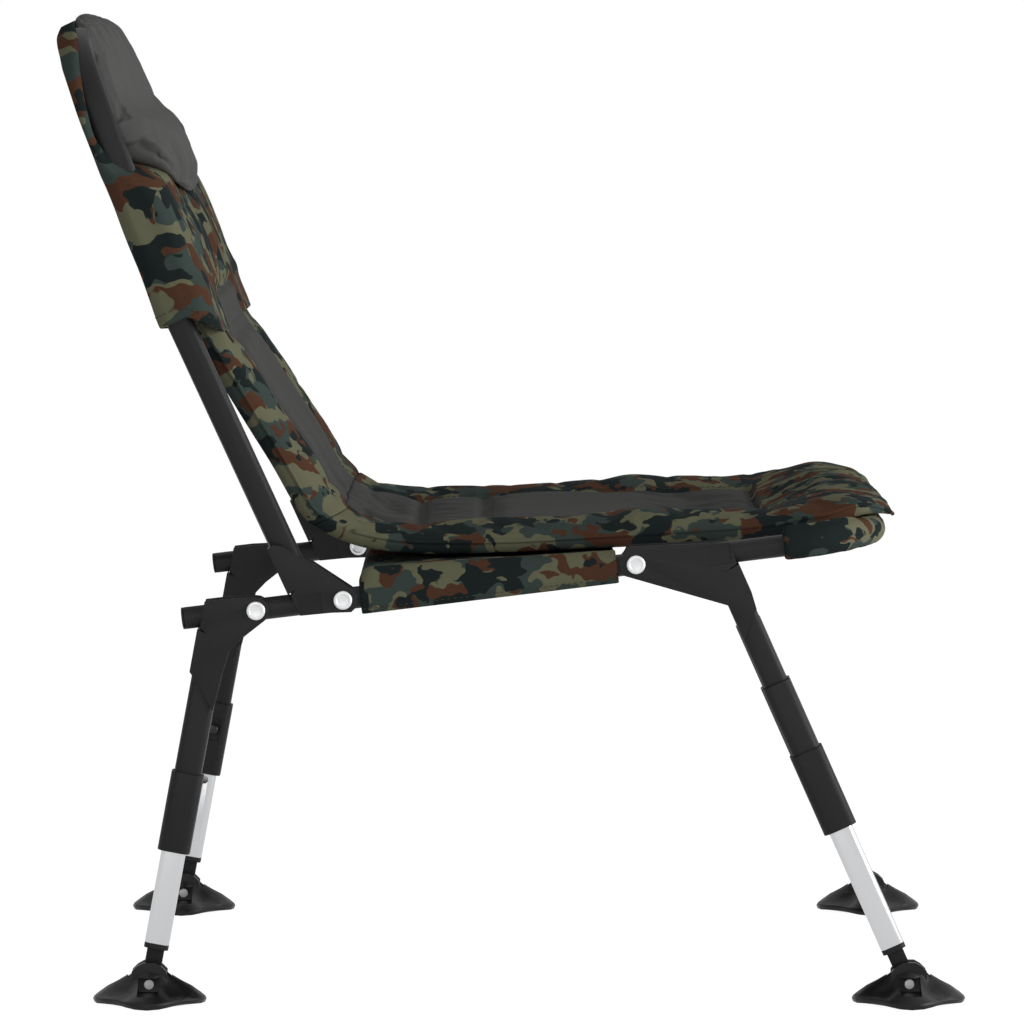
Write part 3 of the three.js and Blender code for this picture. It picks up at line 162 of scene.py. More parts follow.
def gathers(run: float, cross: float, spacing: float, length: float, seed: float) -> float:
    """Long folds side by side, with crisp crests, from about -0.5 to 1.

    Args:
        run: the place along the folds, in millimetres.
        cross: the place across them, in millimetres.
        spacing: the usual distance between two crests, in millimetres.
        length: the usual length of a fold, in millimetres.
        seed: which of many patterns.

    Returns:
        The height of the folds, to be scaled.
    """
    sway = 0.9 * noise.noise(Vector((run / (1.5 * length), cross / (5 * spacing), seed)))
    wave = cross / spacing + sway
    coarse = 1 - 2.4 * abs(noise.noise(Vector((run / length, 0.55 * wave, seed + 5))))
    fine = 1 - 2.4 * abs(noise.noise(Vector((1.8 * run / length, 1.1 * wave, seed + 9))))
    return 0.68 * coarse + 0.32 * fine - 0.35


def lumps(x: float, y: float, size: float, seed: float) -> float:
    """Soft unevenness, from about -1 to 1, with lumps of a size in millimetres."""
    return 1.6 * noise.noise(Vector((x / size, y / size, seed)))


def deselect_all() -> None:
    """Leaves object mode's selection empty."""
    if bpy.context.object and bpy.context.object.mode != "OBJECT":
        bpy.ops.object.mode_set(mode="OBJECT")
    bpy.ops.object.select_all(action="DESELECT")


def make_active(obj: Piece) -> None:
    """Selects one object alone and makes it active."""
    deselect_all()
    obj.select_set(True)
    bpy.context.view_layer.objects.active = obj


def apply_modifiers(obj: Piece) -> None:
    """Applies every modifier of an object, in order."""
    make_active(obj)
    for modifier in list(obj.modifiers):
        bpy.ops.object.modifier_apply(modifier=modifier.name)


def smooth_by_angle(obj: Piece, degrees: float) -> None:
    """Shades an object smooth, and keeps the edges over an angle sharp."""
    make_active(obj)
    bpy.ops.object.shade_smooth_by_angle(angle=math.radians(degrees))


def add_modifier(obj: Piece, kind: str, **settings: object) -> None:
    """Adds a modifier and sets its values."""
    modifier = obj.modifiers.new(kind.title(), kind)
    for name, value in settings.items():
        setattr(modifier, name, value)


def settle(obj: Piece) -> None:
    """Puts an object's place, turn and scale into its mesh."""
    make_active(obj)
    bpy.ops.object.transform_apply(location=True, rotation=True, scale=True)


@contextmanager
def editing(obj: Piece) -> Iterator[None]:
    """Opens an object in edit mode with everything selected, and closes it again."""
    make_active(obj)
    bpy.ops.object.mode_set(mode="EDIT")
    bpy.ops.mesh.select_all(action="SELECT")
    yield
    bpy.ops.object.mode_set(mode="OBJECT")


def shade_smooth(obj: Piece) -> None:
    """Shades every face smooth."""
    for polygon in obj.data.polygons:
        polygon.use_smooth = True


def new_piece(name: str, points: Sequence[Point], faces: Sequence[tuple[int, ...]]) -> Piece:
    """A new object of points, in metres, and faces."""
    mesh = bpy.data.meshes.new(name)
    mesh.from_pydata(points, [], faces)
    piece = bpy.data.objects.new(name, mesh)
    bpy.context.collection.objects.link(piece)
    return piece


def smooth_closed(name: str, points: Sequence[Point], faces: Sequence[tuple[int, ...]]) -> Piece:
    """A new closed object with its faces pointing outwards, shaded smooth."""
    piece = new_piece(name, points, faces)
    with editing(piece):
        bpy.ops.mesh.normals_make_consistent(inside=False)
    shade_smooth(piece)
    return piece


def mesh_from_rings(name: str, rings: Sequence[Ring], looped: bool = False) -> Piece:
    """Skins rings of equal length, and closes both ends or joins them.

    Args:
        name: the new object's name.
        rings: rings of points in the row frame, in metres, in order.
        looped: whether the last ring joins the first, in place of two caps.

    Returns:
        The new object, with its faces pointing outwards.
    """
    count = len(rings[0])
    points = [tuple(p) for ring in rings for p in ring]
    faces: list[tuple[int, ...]] = []
    for r in range(len(rings) if looped else len(rings) - 1):
        after = (r + 1) % len(rings)
        for i in range(count):
            j = (i + 1) % count
            faces.append((r * count + i, r * count + j, after * count + j, after * count + i))
    if not looped:
        for r in (0, len(rings) - 1):
            middle = sum(rings[r], Vector()) / count
            points.append(tuple(middle))
            centre = len(points) - 1
            faces += [(r * count + i, r * count + (i + 1) % count, centre) for i in range(count)]
    return smooth_closed(name, points, faces)


def tube_along(name: str, path: Sequence[Vector], radius: float, sides: int = 10) -> Piece:
    """A round cord along a path, with its ends closed.

    Args:
        name: the new object's name.
        path: the centre line's points, in metres.
        radius: the cord's radius, in metres.
        sides: faces round the cord.

    Returns:
        The new object.
    """
    rings: list[Ring] = []
    across = Vector((0.0, 0.0, 1.0))
    for i, point in enumerate(path):
        ahead = (path[min(i + 1, len(path) - 1)] - path[max(i - 1, 0)]).normalized()
        side = ahead.cross(across)
        if side.length < 0.2:
            side = ahead.cross(Vector((1.0, 0.0, 0.0)))
        side.normalize()
        up = side.cross(ahead).normalized()
        turns = [2 * math.pi * k / sides for k in range(sides)]
        rings.append([point + (side * math.cos(a) + up * math.sin(a)) * radius for a in turns])
    return mesh_from_rings(name, rings)


# Finishes


class NodeSheet:
    """Builds shader nodes and joins them."""

    def __init__(self, tree: bpy.types.NodeTree) -> None:
        """Takes the tree that the nodes go into."""
        self.tree = tree

    def add(self, kind: str, ins: dict | None = None, **settings: object) -> bpy.types.Node:
        """Adds a node, sets its options, and fills or links its inputs.

        Args:
            kind: the node's type, without the ShaderNode prefix.
            ins: input names or numbers, with values or sockets to link.
            settings: the node's own options.

        Returns:
            The new node.
        """
        node = self.tree.nodes.new("ShaderNode" + kind)
        for name, value in settings.items():
            setattr(node, name, value)
        self.feed(node, ins or {})
        return node

    def feed(self, node: bpy.types.Node, ins: dict) -> None:
        """Fills a node's inputs, named or numbered, with values or links."""
        for name, value in ins.items():
            if isinstance(value, Socket):
                self.tree.links.new(value, node.inputs[name])
            else:
                node.inputs[name].default_value = value

    def maths(self, operation: str, a: object, b: object = 0.0) -> Socket:
        """A Math node's result."""
        return self.add("Math", {0: a, 1: b}, operation=operation).outputs[0]

    def times(self, a: object, b: object) -> Socket:
        """The product of two values."""
        return self.maths("MULTIPLY", a, b)

    def seen(self) -> Socket:
        """1 where the camera sees the surface, directly or in a gloss."""
        path = self.add("LightPath").outputs
        return self.maths("MAXIMUM", path["Is Camera Ray"], path["Is Glossy Ray"])

    def scaled(self, vector: object, factor: object) -> Socket:
        """A vector made longer by a factor."""
        return self.add("VectorMath", {0: vector, "Scale": factor}, operation="SCALE").outputs[0]

    def mix(self, factor: object, a: object, b: object) -> Socket:
        """A colour mix's result."""
        return self.add("Mix", {0: factor, 6: a, 7: b}, data_type="RGBA").outputs[2]

    def ramp(self, factor: object, low: float, high: float) -> Socket:
        """A ramp from black at one value to white at another."""
        node = self.add("ValToRGB", {0: factor})
        for element, (place, grey) in zip(node.color_ramp.elements, ((low, 0.0), (high, 1.0))):
            element.position = place
            element.color = (grey, grey, grey, 1.0)
        return node.outputs[0]

    def noise(self, vector: object, scale: float, detail: float, rough: float) -> bpy.types.Node:
        """A noise texture on the given coordinates."""
        return self.add("TexNoise", {"Vector": vector, "Scale": scale, "Detail": detail, "Roughness": rough})


class GroupSheet(NodeSheet):
    """A new node group with named sockets, and its two end nodes."""

    def __init__(self, name: str, ins: dict[str, object], outs: Sequence[str]) -> None:
        """Makes the group's sockets.

        Args:
            name: the group's name.
            ins: each input's name and first value: None for a vector, a number, or a colour.
            outs: each output's name; "Color" is a colour and any other a number.
        """
        super().__init__(bpy.data.node_groups.new(name, "ShaderNodeTree"))
        for label, value in ins.items():
            kind = {type(None): "Vector", float: "Float", tuple: "Color"}[type(value)]
            socket = self.tree.interface.new_socket(label, in_out="INPUT", socket_type="NodeSocket" + kind)
            if value is not None:
                socket.default_value = value
        for label in outs:
            kind = "Color" if label == "Color" else "Float"
            self.tree.interface.new_socket(label, in_out="OUTPUT", socket_type="NodeSocket" + kind)
        self.given = self.tree.nodes.new("NodeGroupInput").outputs
        self.result = self.tree.nodes.new("NodeGroupOutput")


class SharedEffects:
    """The node groups that more than one finish uses."""

    def __init__(self) -> None:
        """Builds every group once."""
        self.camouflage = self._camouflage()
        self.weave = self._weave()
        self.grain = self._grain()
        self.dust = self._dust()

    def _camouflage(self) -> bpy.types.NodeTree:
        """Woodland camouflage: patches of three colours over a fourth, with swaying borders."""
        sway_scale, sway, border = 30.0, 0.05, 0.005
        layers = (
            ("Slate", (0.31, 0.7, 0.12), 15.0, 0.52),
            ("Brown", (5.2, 1.3, 2.8), 16.0, 0.556),
            ("Dark", (9.1, 4.4, 7.7), 18.0, 0.55),
        )
        colours = {label: (0.5, 0.5, 0.5, 1.0) for label in ("Khaki", *(layer[0] for layer in layers))}
        sheet = GroupSheet("woodland_camouflage", {"Vector": None, "Size": 1.0, **colours}, ["Color"])
        sized = sheet.scaled(sheet.given["Vector"], sheet.given["Size"])
        wobble = sheet.noise(sized, sway_scale, 1.5, 0.5).outputs["Color"]
        centred = sheet.add("VectorMath", {0: wobble, 1: (0.5, 0.5, 0.5)}, operation="SUBTRACT").outputs[0]
        swayed = sheet.scaled(centred, sway)
        warped = sheet.add("VectorMath", {0: sized, 1: swayed}, operation="ADD").outputs[0]
        colour = sheet.given["Khaki"]
        for label, away, scale, cut in layers:
            placed = sheet.add("Mapping", {"Vector": warped, "Location": away, "Scale": (1.0, 1.0, 1.6)})
            patch = sheet.noise(placed.outputs[0], scale, 1.0, 0.45)
            mask = sheet.ramp(patch.outputs[0], cut - border, cut + border)
            colour = sheet.mix(mask, colour, sheet.given[label])
        sheet.feed(sheet.result, {"Color": colour})
        return sheet.tree

    def _weave(self) -> bpy.types.NodeTree:
        """Plain weave: crossed threads, as a height and a soft colour change."""
        pitch = 4200.0
        sheet = GroupSheet("plain_weave", {"Vector": None, "Threads": 1.0}, ["Height", "Shade"])
        sized = sheet.scaled(sheet.given["Vector"], sheet.given["Threads"])
        x, y, z = sheet.add("SeparateXYZ", {0: sized}).outputs
        threads = [
            sheet.maths("SINE", sheet.times(sheet.maths(way, along, z), pitch))
            for way, along in (("ADD", x), ("SUBTRACT", y))
        ]
        fuzz = sheet.noise(sized, 900.0, 3.0, 0.6).outputs[0]
        cloudy = sheet.noise(sized, 45.0, 3.0, 0.6).outputs[0]
        height = sheet.maths("ADD", sheet.times(sheet.times(*threads), 0.35), fuzz)
        shade = sheet.maths("ADD", sheet.times(cloudy, 0.3), sheet.times(fuzz, 0.25))
        sheet.feed(sheet.result, {"Height": height, "Shade": shade})
        return sheet.tree

    def _grain(self) -> bpy.types.NodeTree:
        """Fine surface grain, as a height, with a slow change beside it."""
        sheet = GroupSheet("surface_grain", {"Vector": None, "Fineness": 1.0}, ["Height", "Drift"])
        sized = sheet.scaled(sheet.given["Vector"], sheet.given["Fineness"])
        fine = sheet.noise(sized, 1500.0, 2.0, 0.6).outputs[0]
        slow = sheet.noise(sized, 24.0, 3.0, 0.6).outputs[0]
        sheet.feed(sheet.result, {"Height": fine, "Drift": slow})
        return sheet.tree

    def _dust(self) -> bpy.types.NodeTree:
        """Light dust on faces that look up, and worn paint on edges."""
        sheet = GroupSheet("edge_and_dust", {"Amount": 0.3}, ["Edge", "Dust"])
        shape = sheet.add("NewGeometry").outputs
        upward = sheet.add("SeparateXYZ", {0: shape["Normal"]}).outputs[2]
        edge = sheet.times(sheet.ramp(shape["Pointiness"], 0.505, 0.56), sheet.given["Amount"])
        dust = sheet.times(sheet.ramp(upward, 0.3, 1.0), sheet.given["Amount"])
        sheet.feed(sheet.result, {"Edge": edge, "Dust": dust})
        return sheet.tree


def colour_of(red: int, green: int, blue: int) -> Colour:
    """A linear colour from values out of 255."""

    def linear(value: int) -> float:
        """One channel, from screen to linear."""
        share = value / 255
        return share / 12.92 if share <= 0.04045 else ((share + 0.055) / 1.055) ** 2.4

    return (linear(red), linear(green), linear(blue), 1.0)


class Finish:
    """A surface finish that makes one material."""

    label: str

    def start(self) -> tuple[bpy.types.Material, NodeSheet, bpy.types.Node, Socket]:
        """An empty node material with its main shader and object coordinates."""
        material = bpy.data.materials.new(self.label)
        material.use_nodes = True
        sheet = NodeSheet(material.node_tree)
        shader = material.node_tree.nodes["Principled BSDF"]
        place = sheet.add("TexCoord").outputs["Object"]
        return material, sheet, shader, place

    def group(self, sheet: NodeSheet, tree: bpy.types.NodeTree, ins: dict) -> bpy.types.Node:
        """Places a shared group in the material."""
        node = sheet.add("Group", node_tree=tree)
        sheet.feed(node, ins)
        return node

    def coat(self, sheet: NodeSheet, shader: bpy.types.Node, base: Socket, roughness: object,
             specular: float) -> None:
        """Gives the shader its colour, its roughness and its shine."""
        sheet.feed(shader, {"Base Color": base, "Roughness": roughness, "Specular IOR Level": specular})

    def bump(self, sheet: NodeSheet, shader: bpy.types.Node, height: Socket,
             strength: float, distance: float) -> None:
        """Raises the shader's surface by a height."""
        node = sheet.add("Bump", {"Height": height, "Strength": strength, "Distance": distance})
        sheet.feed(shader, {"Normal": node.outputs[0]})


@dataclass(frozen=True)
class CoatedSurface(Finish):
    """Paint, moulded plastic or bare metal with a fine grain."""

    label: str
    colour: Colour
    worn: Colour
    roughness: float
    metallic: float
    specular: float
    grain: float
    fineness: float
    wear: float
    stretch: float = 1.0

    def build(self, effects: SharedEffects) -> bpy.types.Material:
        """Makes the material.

        Args:
            effects: the shared node groups.

        Returns:
            The finished material.
        """
        material, sheet, shader, place = self.start()
        drawn = sheet.add("Mapping", {"Vector": place, "Scale": (1.0, 1.0, self.stretch)}).outputs[0]
        grain = self.group(sheet, effects.grain, {"Vector": drawn, "Fineness": self.fineness})
        marks = self.group(sheet, effects.dust, {"Amount": self.wear})
        drift = sheet.times(grain.outputs["Drift"], 0.55)
        base = sheet.mix(drift, self.colour, tuple(c * 0.8 for c in self.colour[:3]) + (1.0,))
        base = sheet.mix(marks.outputs["Edge"], base, self.worn)
        base = sheet.mix(sheet.times(marks.outputs["Dust"], 0.25), base, self.worn)
        rough = sheet.maths("ADD", sheet.times(grain.outputs["Drift"], 0.16), self.roughness - 0.08)
        self.coat(sheet, shader, base, rough, self.specular)
        sheet.feed(shader, {"Metallic": self.metallic})
        self.bump(sheet, shader, grain.outputs["Height"], self.grain, 0.0002)
        return material


@dataclass(frozen=True)
class CamouflageCloth(Finish):
    """Woven polyester printed with a woodland pattern."""

    label: str = "camouflage_cloth"
    khaki: Colour = colour_of(105, 105, 84)
    slate: Colour = colour_of(61, 72, 68)
    brown: Colour = colour_of(82, 56, 43)
    dark: Colour = colour_of(33, 40, 40)
    size: float = 1.95
    roughness: float = 0.88
    specular: float = 0.03

    def build(self, effects: SharedEffects) -> bpy.types.Material:
        """Makes the material.

        Args:
            effects: the shared node groups.

        Returns:
            The finished material.
        """
        material, sheet, shader, place = self.start()
        colours = {"Khaki": self.khaki, "Slate": self.slate, "Brown": self.brown, "Dark": self.dark}
        print_ = self.group(sheet, effects.camouflage, {"Vector": place, "Size": self.size, **colours})
        weave = self.group(sheet, effects.weave, {"Vector": place, "Threads": 1.0})
        shade = sheet.times(weave.outputs["Shade"], 0.9)
        darker = sheet.add("HueSaturation", {"Value": 0.62, "Color": print_.outputs["Color"]})
        base = sheet.mix(shade, print_.outputs["Color"], darker.outputs[0])
        self.coat(sheet, shader, base, self.roughness, self.specular)
        self.bump(sheet, shader, weave.outputs["Height"], 0.35, 0.0004)
        return material


@dataclass(frozen=True)
class PlainCloth(Finish):
    """Dark woven cloth of one colour."""

    label: str
    colour: Colour
    light: Colour
    threads: float = 1.0
    roughness: float = 0.86
    specular: float = 0.04

    def build(self, effects: SharedEffects) -> bpy.types.Material:
        """Makes the material.

        Args:
            effects: the shared node groups.

        Returns:
            The finished material.
        """
        material, sheet, shader, place = self.start()
        weave = self.group(sheet, effects.weave, {"Vector": place, "Threads": self.threads})
        base = sheet.mix(weave.outputs["Shade"], self.light, self.colour)
        self.coat(sheet, shader, base, self.roughness, self.specular)
        self.bump(sheet, shader, weave.outputs["Height"], 0.3, 0.0004)
        return material


@dataclass
class Palette:
    """Every material of the chair."""

    effects: SharedEffects = field(default_factory=SharedEffects)
    made: dict[str, bpy.types.Material] = field(default_factory=dict)

    def __post_init__(self) -> None:
        """Builds each finish once."""

        def grey(tone: int) -> Colour:
            """A colour with three equal channels."""
            return colour_of(tone, tone, tone)

        steel, plastic, pin = colour_of(38, 38, 39), colour_of(33, 33, 34), colour_of(40, 40, 42)
        silver, rivet = colour_of(189, 190, 192), colour_of(226, 227, 228)
        # After the two colours: roughness, metallic, specular, grain, fineness, wear and stretch.
        finishes: list[Finish] = [
            CoatedSurface("black_steel", steel, colour_of(60, 60, 62), 0.44, 0.0, 0.12, 0.25, 1.0, 0.12),
            CoatedSurface("black_plastic", plastic, colour_of(52, 52, 54), 0.48, 0.0, 0.14, 0.35, 0.8, 0.1),
            CoatedSurface("foot_rubber", grey(15), grey(34), 0.4, 0.0, 0.2, 0.35, 0.7, 0.08),
            CoatedSurface("blackened_pin", pin, colour_of(80, 80, 82), 0.3, 0.6, 0.5, 0.2, 1.0, 0.2),
            CoatedSurface("silver_tube", silver, grey(232), 0.3, 1.0, 0.5, 0.25, 0.6, 0.2, 0.03),
            CoatedSurface("bright_rivet", rivet, grey(244), 0.36, 0.55, 0.5, 0.2, 1.0, 0.2),
            # The foot pin's dome: its bright metal as a nearly white matte colour, with its highlight painted
            # in.
            CoatedSurface("pin_dome", grey(246), grey(250), 0.3, 0.0, 0.5, 0.2, 1.0, 0.1),
            CamouflageCloth(),
            CamouflageCloth("camouflage_hood", size=1.5),
            PlainCloth("grey_cloth", grey(58), colour_of(86, 86, 85)),
            # grey_panel is the grey cloth made darker: painted shade on the middle panels of the seat, the
            # backrest and the hood.
            PlainCloth("grey_panel", grey(49), colour_of(72, 72, 71)),
            PlainCloth("sewing_thread", colour_of(52, 54, 47), colour_of(76, 78, 68), 2.0),
        ]
        for finish in finishes:
            self.made[finish.label] = finish.build(self.effects)

    def dress(self, obj: Piece, *names: str) -> None:
        """Gives an object its materials, in slot order."""
        obj.data.materials.clear()
        for name in names:
            obj.data.materials.append(self.made[name])


# Where things are


@dataclass
class ChairSpace:
    """The seat's and the backrest's own frames, in millimetres, and the way from them to the row frame."""

    slope_deg: float = 6.93
    recline_deg: float = 24.6
    back_pivot_at: float = 137.0
    half_track: float = 272.5
    rail_length: float = 522.0
    front_bend: float = 75.0
    pivot: Vector = field(default_factory=Vector)
    seat: Matrix = field(default_factory=Matrix)
    back: Matrix = field(default_factory=Matrix)

    @classmethod
    def from_joint(cls, joints: Sequence[dict]) -> ChairSpace:
        """Places both frames by the backrest's hinge.

        Args:
            joints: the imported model's joints.

        Returns:
            The two frames.
        """
        space = cls()
        hinge = next(j for j in joints if j["name"] == "backrest_fold")
        space.pivot = Vector(hinge["pos_m"])
        slope = Matrix.Rotation(-math.radians(space.slope_deg), 4, "Y")
        rear = space.pivot - slope @ Vector((space.back_pivot_at * MM, 0.0, 0.0))
        space.seat = Matrix.Translation(rear) @ slope @ Matrix.Scale(MM, 4)
        recline = Matrix.Rotation(-math.radians(space.recline_deg), 4, "Y")
        space.back = Matrix.Translation(space.pivot) @ recline @ Matrix.Scale(MM, 4)
        return space

    @staticmethod
    def turned(matrix: Matrix, way: Point) -> Vector:
        """A direction of one of the frames, as a unit vector of the row frame."""
        return (matrix.to_3x3() @ Vector(way)).normalized()


# Soft goods


@dataclass
class PadSection:
    """One cross section of a pad: its underside, its upward direction and its thicknesses."""

    under: Vector
    up: Vector
    half: float
    roll: float
    piping: float
    middle: float
    sag: float


@dataclass
class PadShape:
    """The cross section of a boxed pad with side rolls, a middle panel and a pinched piping."""

    panel: float = 0.65
    roll_at: float = 0.83
    inset: float = 3.0
    bulge: float = 1.6
    top_steps: int = 111
    side_steps: int = 4
    under_steps: int = 27

    def height(self, v: float, section: PadSection) -> float:
        """The top's height over the underside, across the width."""
        at = abs(v)
        low = section.middle + (section.roll - section.middle) * 0.3
        if at < self.panel:
            return section.middle + (low - section.middle) * (at / self.panel) ** 2
        if at < self.roll_at:
            t = (at - self.panel) / (self.roll_at - self.panel)
            return low + (section.roll - low) * math.sin(t * math.pi / 2)
        t = (at - self.roll_at) / (1 - self.roll_at)
        return section.piping + (section.roll - section.piping) * math.sqrt(max(1 - t**2.2, 0.0))

    def top_places(self) -> list[float]:
        """The places of the top's points, across the width from left to right."""
        return graded(self.top_steps, 1.0, -1.0, (self.panel, -self.panel))

    def ring(self, section: PadSection, thickness: float) -> list[Vector]:
        """One closed ring: the underside, a side, the top and the other side."""
        side = Vector((0.0, 1.0, 0.0))
        narrow = section.half - self.inset

        def sunk(v: float) -> Vector:
            """The underside's point at a place across the width."""
            return section.under - section.up * section.sag * (1 - v * v)

        def boxing(t: float, sign: float) -> Vector:
            """A point of the side band, from the underside to the piping."""
            out = narrow + self.inset * t + self.bulge * math.sin(t * math.pi)
            return sunk(1.0) + side * sign * out + section.up * section.piping * thickness * t

        steps = spread(self.side_steps + 2)[1:-1]
        points = [sunk(v) + side * v * narrow for v in spread(self.under_steps, -1.0, 1.0)]
        points += [boxing(t, 1.0) for t in steps]
        for v in self.top_places():
            up = section.up * self.height(v, section)
            points.append(sunk(v) + side * v * section.half + up * thickness)
        points += [boxing(t, -1.0) for t in reversed(steps)]
        return points

    def marks(self) -> list[float]:
        """Each ring point's place across the top, or 2 where it isn't on the top."""
        off = [2.0] * self.side_steps
        return [2.0] * self.under_steps + off + self.top_places() + off


@dataclass
class Pad:
    """A pad's mesh while it is made: rings of points with their places along and across."""

    obj: Piece
    along: Sequence[float]
    across: Sequence[float]

    def each(self) -> Iterable[tuple[bpy.types.MeshVertex, float, float]]:
        """Every first-made point, with its place along and across."""
        count = len(self.across)
        for r, place in enumerate(self.along):
            for k, v in enumerate(self.across):
                yield self.obj.data.vertices[r * count + k], place, v

    def line(self, v: float) -> list[Vector]:
        """The points of the surface at one place across, from end to end."""
        k = min(range(len(self.across)), key=lambda i: abs(self.across[i] - v))
        count = len(self.across)
        return [self.obj.data.vertices[r * count + k].co.copy() for r in range(len(self.along))]

    def row(self, place: float, low: float, high: float) -> list[Vector]:
        """The points of the top at one place along, between two places across."""
        r = min(range(len(self.along)), key=lambda i: abs(self.along[i] - place))
        count = len(self.across)
        wanted = [k for k, v in enumerate(self.across) if low <= v <= high]
        return [self.obj.data.vertices[r * count + k].co.copy() for k in wanted]


class SoftGoods:
    """What the fabric pieces share: air and slack cloth, relief, piping and stitches."""

    def __init__(self, space: ChairSpace, palette: Palette) -> None:
        """Takes the frames and the materials."""
        self.space = space
        self.palette = palette

    def inflate(self, obj: Piece, held: Sequence[float], pressure: float, slack: float,
                cap_mm: float) -> None:
        """Lets air and spare cloth shape a pad, with its seams held.

        Args:
            obj: the closed pad.
            held: how firmly each point is held, from 0 to 1.
            pressure: the air pressure.
            slack: the share by which the cloth is larger than the form.
            cap_mm: how far a point may move, in millimetres.
        """
        frames = 14
        start = [vertex.co.copy() for vertex in obj.data.vertices]
        group = obj.vertex_groups.new(name="seams")
        for index, weight in enumerate(held):
            if weight > 0:
                group.add([index], min(weight, 1.0), "REPLACE")
        cloth = obj.modifiers.new("cloth", "CLOTH")
        values = {
            "quality": 4, "mass": 0.3, "tension_stiffness": 14, "compression_stiffness": 14,
            "shear_stiffness": 5, "bending_stiffness": 0.5, "use_pressure": True,
            "uniform_pressure_force": pressure, "shrink_min": -slack, "vertex_group_mass": group.name,
        }
        for name, value in values.items():
            setattr(cloth.settings, name, value)
        cloth.settings.effector_weights.gravity = 0.0
        cloth.point_cache.frame_start = 1
        cloth.point_cache.frame_end = frames
        scene = bpy.context.scene
        for number in range(1, frames + 1):
            scene.frame_set(number)
        make_active(obj)
        bpy.ops.object.modifier_apply(modifier=cloth.name)
        scene.frame_set(1)
        for vertex, before in zip(obj.data.vertices, start):
            moved = vertex.co - before
            if moved.length > cap_mm * MM:
                vertex.co = before + moved * (cap_mm * MM / moved.length)
        obj.vertex_groups.clear()

    def raise_relief(self, pad: Pad, height: Callable[[float, float], float]) -> None:
        """Moves the points of the top along their normals.

        Args:
            pad: the pad.
            height: the relief in millimetres at a place along and a place across.
        """
        normals = [vertex.normal.copy() for vertex in pad.obj.data.vertices]
        for vertex, along, v in pad.each():
            if abs(v) <= 1:
                vertex.co += normals[vertex.index] * (height(along, v) * (1 - abs(v) ** 12) * MM)

    def refine(self, obj: Piece) -> None:
        """Subdivides a piece once and applies it."""
        add_modifier(obj, "SUBSURF", levels=1, render_levels=1, quality=2)
        apply_modifiers(obj)
        shade_smooth(obj)

    def stand_in(self, cover: Piece, body: str, node: str, fill: float, slot: str = "camo_cloth") -> None:
        """Lets a padded cover ride on a body and stand for its solid."""
        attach(cover, body)
        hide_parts(node)

    def paint(self, pad: Pad, wanted: Callable[[float, float], bool]) -> None:
        """Gives the pad's faces the second material where their middle is wanted.

        Args:
            pad: the pad, before it is subdivided.
            wanted: whether a place along and across belongs to the second material.
        """
        where = {vertex.index: (along, v) for vertex, along, v in pad.each()}
        for polygon in pad.obj.data.polygons:
            places = [where[i] for i in polygon.vertices if i in where]
            if len(places) < 4 or any(abs(v) > 1 for _, v in places):
                continue
            along = sum(a for a, _ in places) / len(places)
            across = sum(v for _, v in places) / len(places)
            if wanted(along, across):
                polygon.material_index = 1

    def fasten(self, obj: Piece, body: str, finish: str) -> Piece:
        """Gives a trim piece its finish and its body."""
        self.palette.dress(obj, finish)
        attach(obj, body)
        return obj

    def keep_end_sharp(self, pad: Pad) -> None:
        """Creases the first ring, so that subdivision leaves the end's outline where it is."""
        crease = pad.obj.data.attributes.new("crease_edge", "FLOAT", "EDGE")
        for edge in pad.obj.data.edges:
            if max(edge.vertices) < len(pad.across):
                crease.data[edge.index].value = 1.0

    def give_way(self, pieces: Iterable[Piece], frame_of: Matrix, axis: Point, anchor: Point,
                 keep: float) -> None:
        """Lets pieces flatten as the backrest folds.

        Args:
            pieces: the cover and its trim.
            frame_of: the way from the pieces' own frame to the row frame.
            axis: the direction that loses its thickness, in their own frame.
            anchor: the point that stays, in their own frame, in millimetres.
            keep: the share of the thickness that would be left; not used.
        """
        way, point = tuple(self.space.turned(frame_of, axis)), tuple(frame_of @ Vector(anchor))
        for piece in pieces:
            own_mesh(piece)
            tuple(way)
            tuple(point)

    def piping(self, name: str, path: Sequence[Vector], body: str, radius_mm: float = 1.8) -> Piece:
        """A sewn piping along a path."""
        return self.fasten(tube_along(name, path, radius_mm * MM), body, "camouflage_cloth")

    def stitches(self, name: str, path: Sequence[Vector], body: str, outward: Callable[[Vector], Vector],
                 pitch_mm: float = 5.2, length_mm: float = 3.4, lift_mm: float = 0.25) -> Piece:
        """A row of thread stitches along a path.

        Args:
            name: the new piece's name.
            path: points on the cloth, in metres.
            body: the body that the cloth rides on.
            outward: the direction away from the cloth at a point.
            pitch_mm: the distance from one stitch to the next.
            length_mm: the visible length of a stitch.
            lift_mm: how far the thread stands over the cloth.

        Returns:
            The row, as one piece.
        """
        sides = 6
        outline = ((-0.5, 0.14, -0.15), (-0.3, 0.34, lift_mm), (0.3, 0.34, lift_mm), (0.5, 0.14, -0.15))
        points: list[Point] = []
        faces: list[tuple[int, ...]] = []
        gone, due = 0.0, pitch_mm * MM / 2
        for before, after in zip(path, path[1:]):
            step = (after - before).length
            while step > 0 and due <= gone + step:
                middle = before.lerp(after, (due - gone) / step)
                ahead = (after - before).normalized()
                up = outward(middle).normalized()
                aside = ahead.cross(up).normalized()
                first = len(points)
                for share, radius, lift in outline:
                    centre = middle + ahead * share * length_mm * MM + up * lift * MM
                    for a in range(sides):
                        turn = a * 2 * math.pi / sides
                        out = aside * math.cos(turn) + up * math.sin(turn)
                        points.append(tuple(centre + out * radius * MM))
                for start in range(first, first + 3 * sides, sides):
                    for a in range(sides):
                        b = (a + 1) % sides
                        faces.append((start + a, start + b, start + sides + b, start + sides + a))
                faces.append(tuple(first + a for a in reversed(range(sides))))
                faces.append(tuple(first + 3 * sides + a for a in range(sides)))
                due += pitch_mm * MM
            gone += step
        return self.fasten(smooth_closed(name, points, faces), body, "sewing_thread")


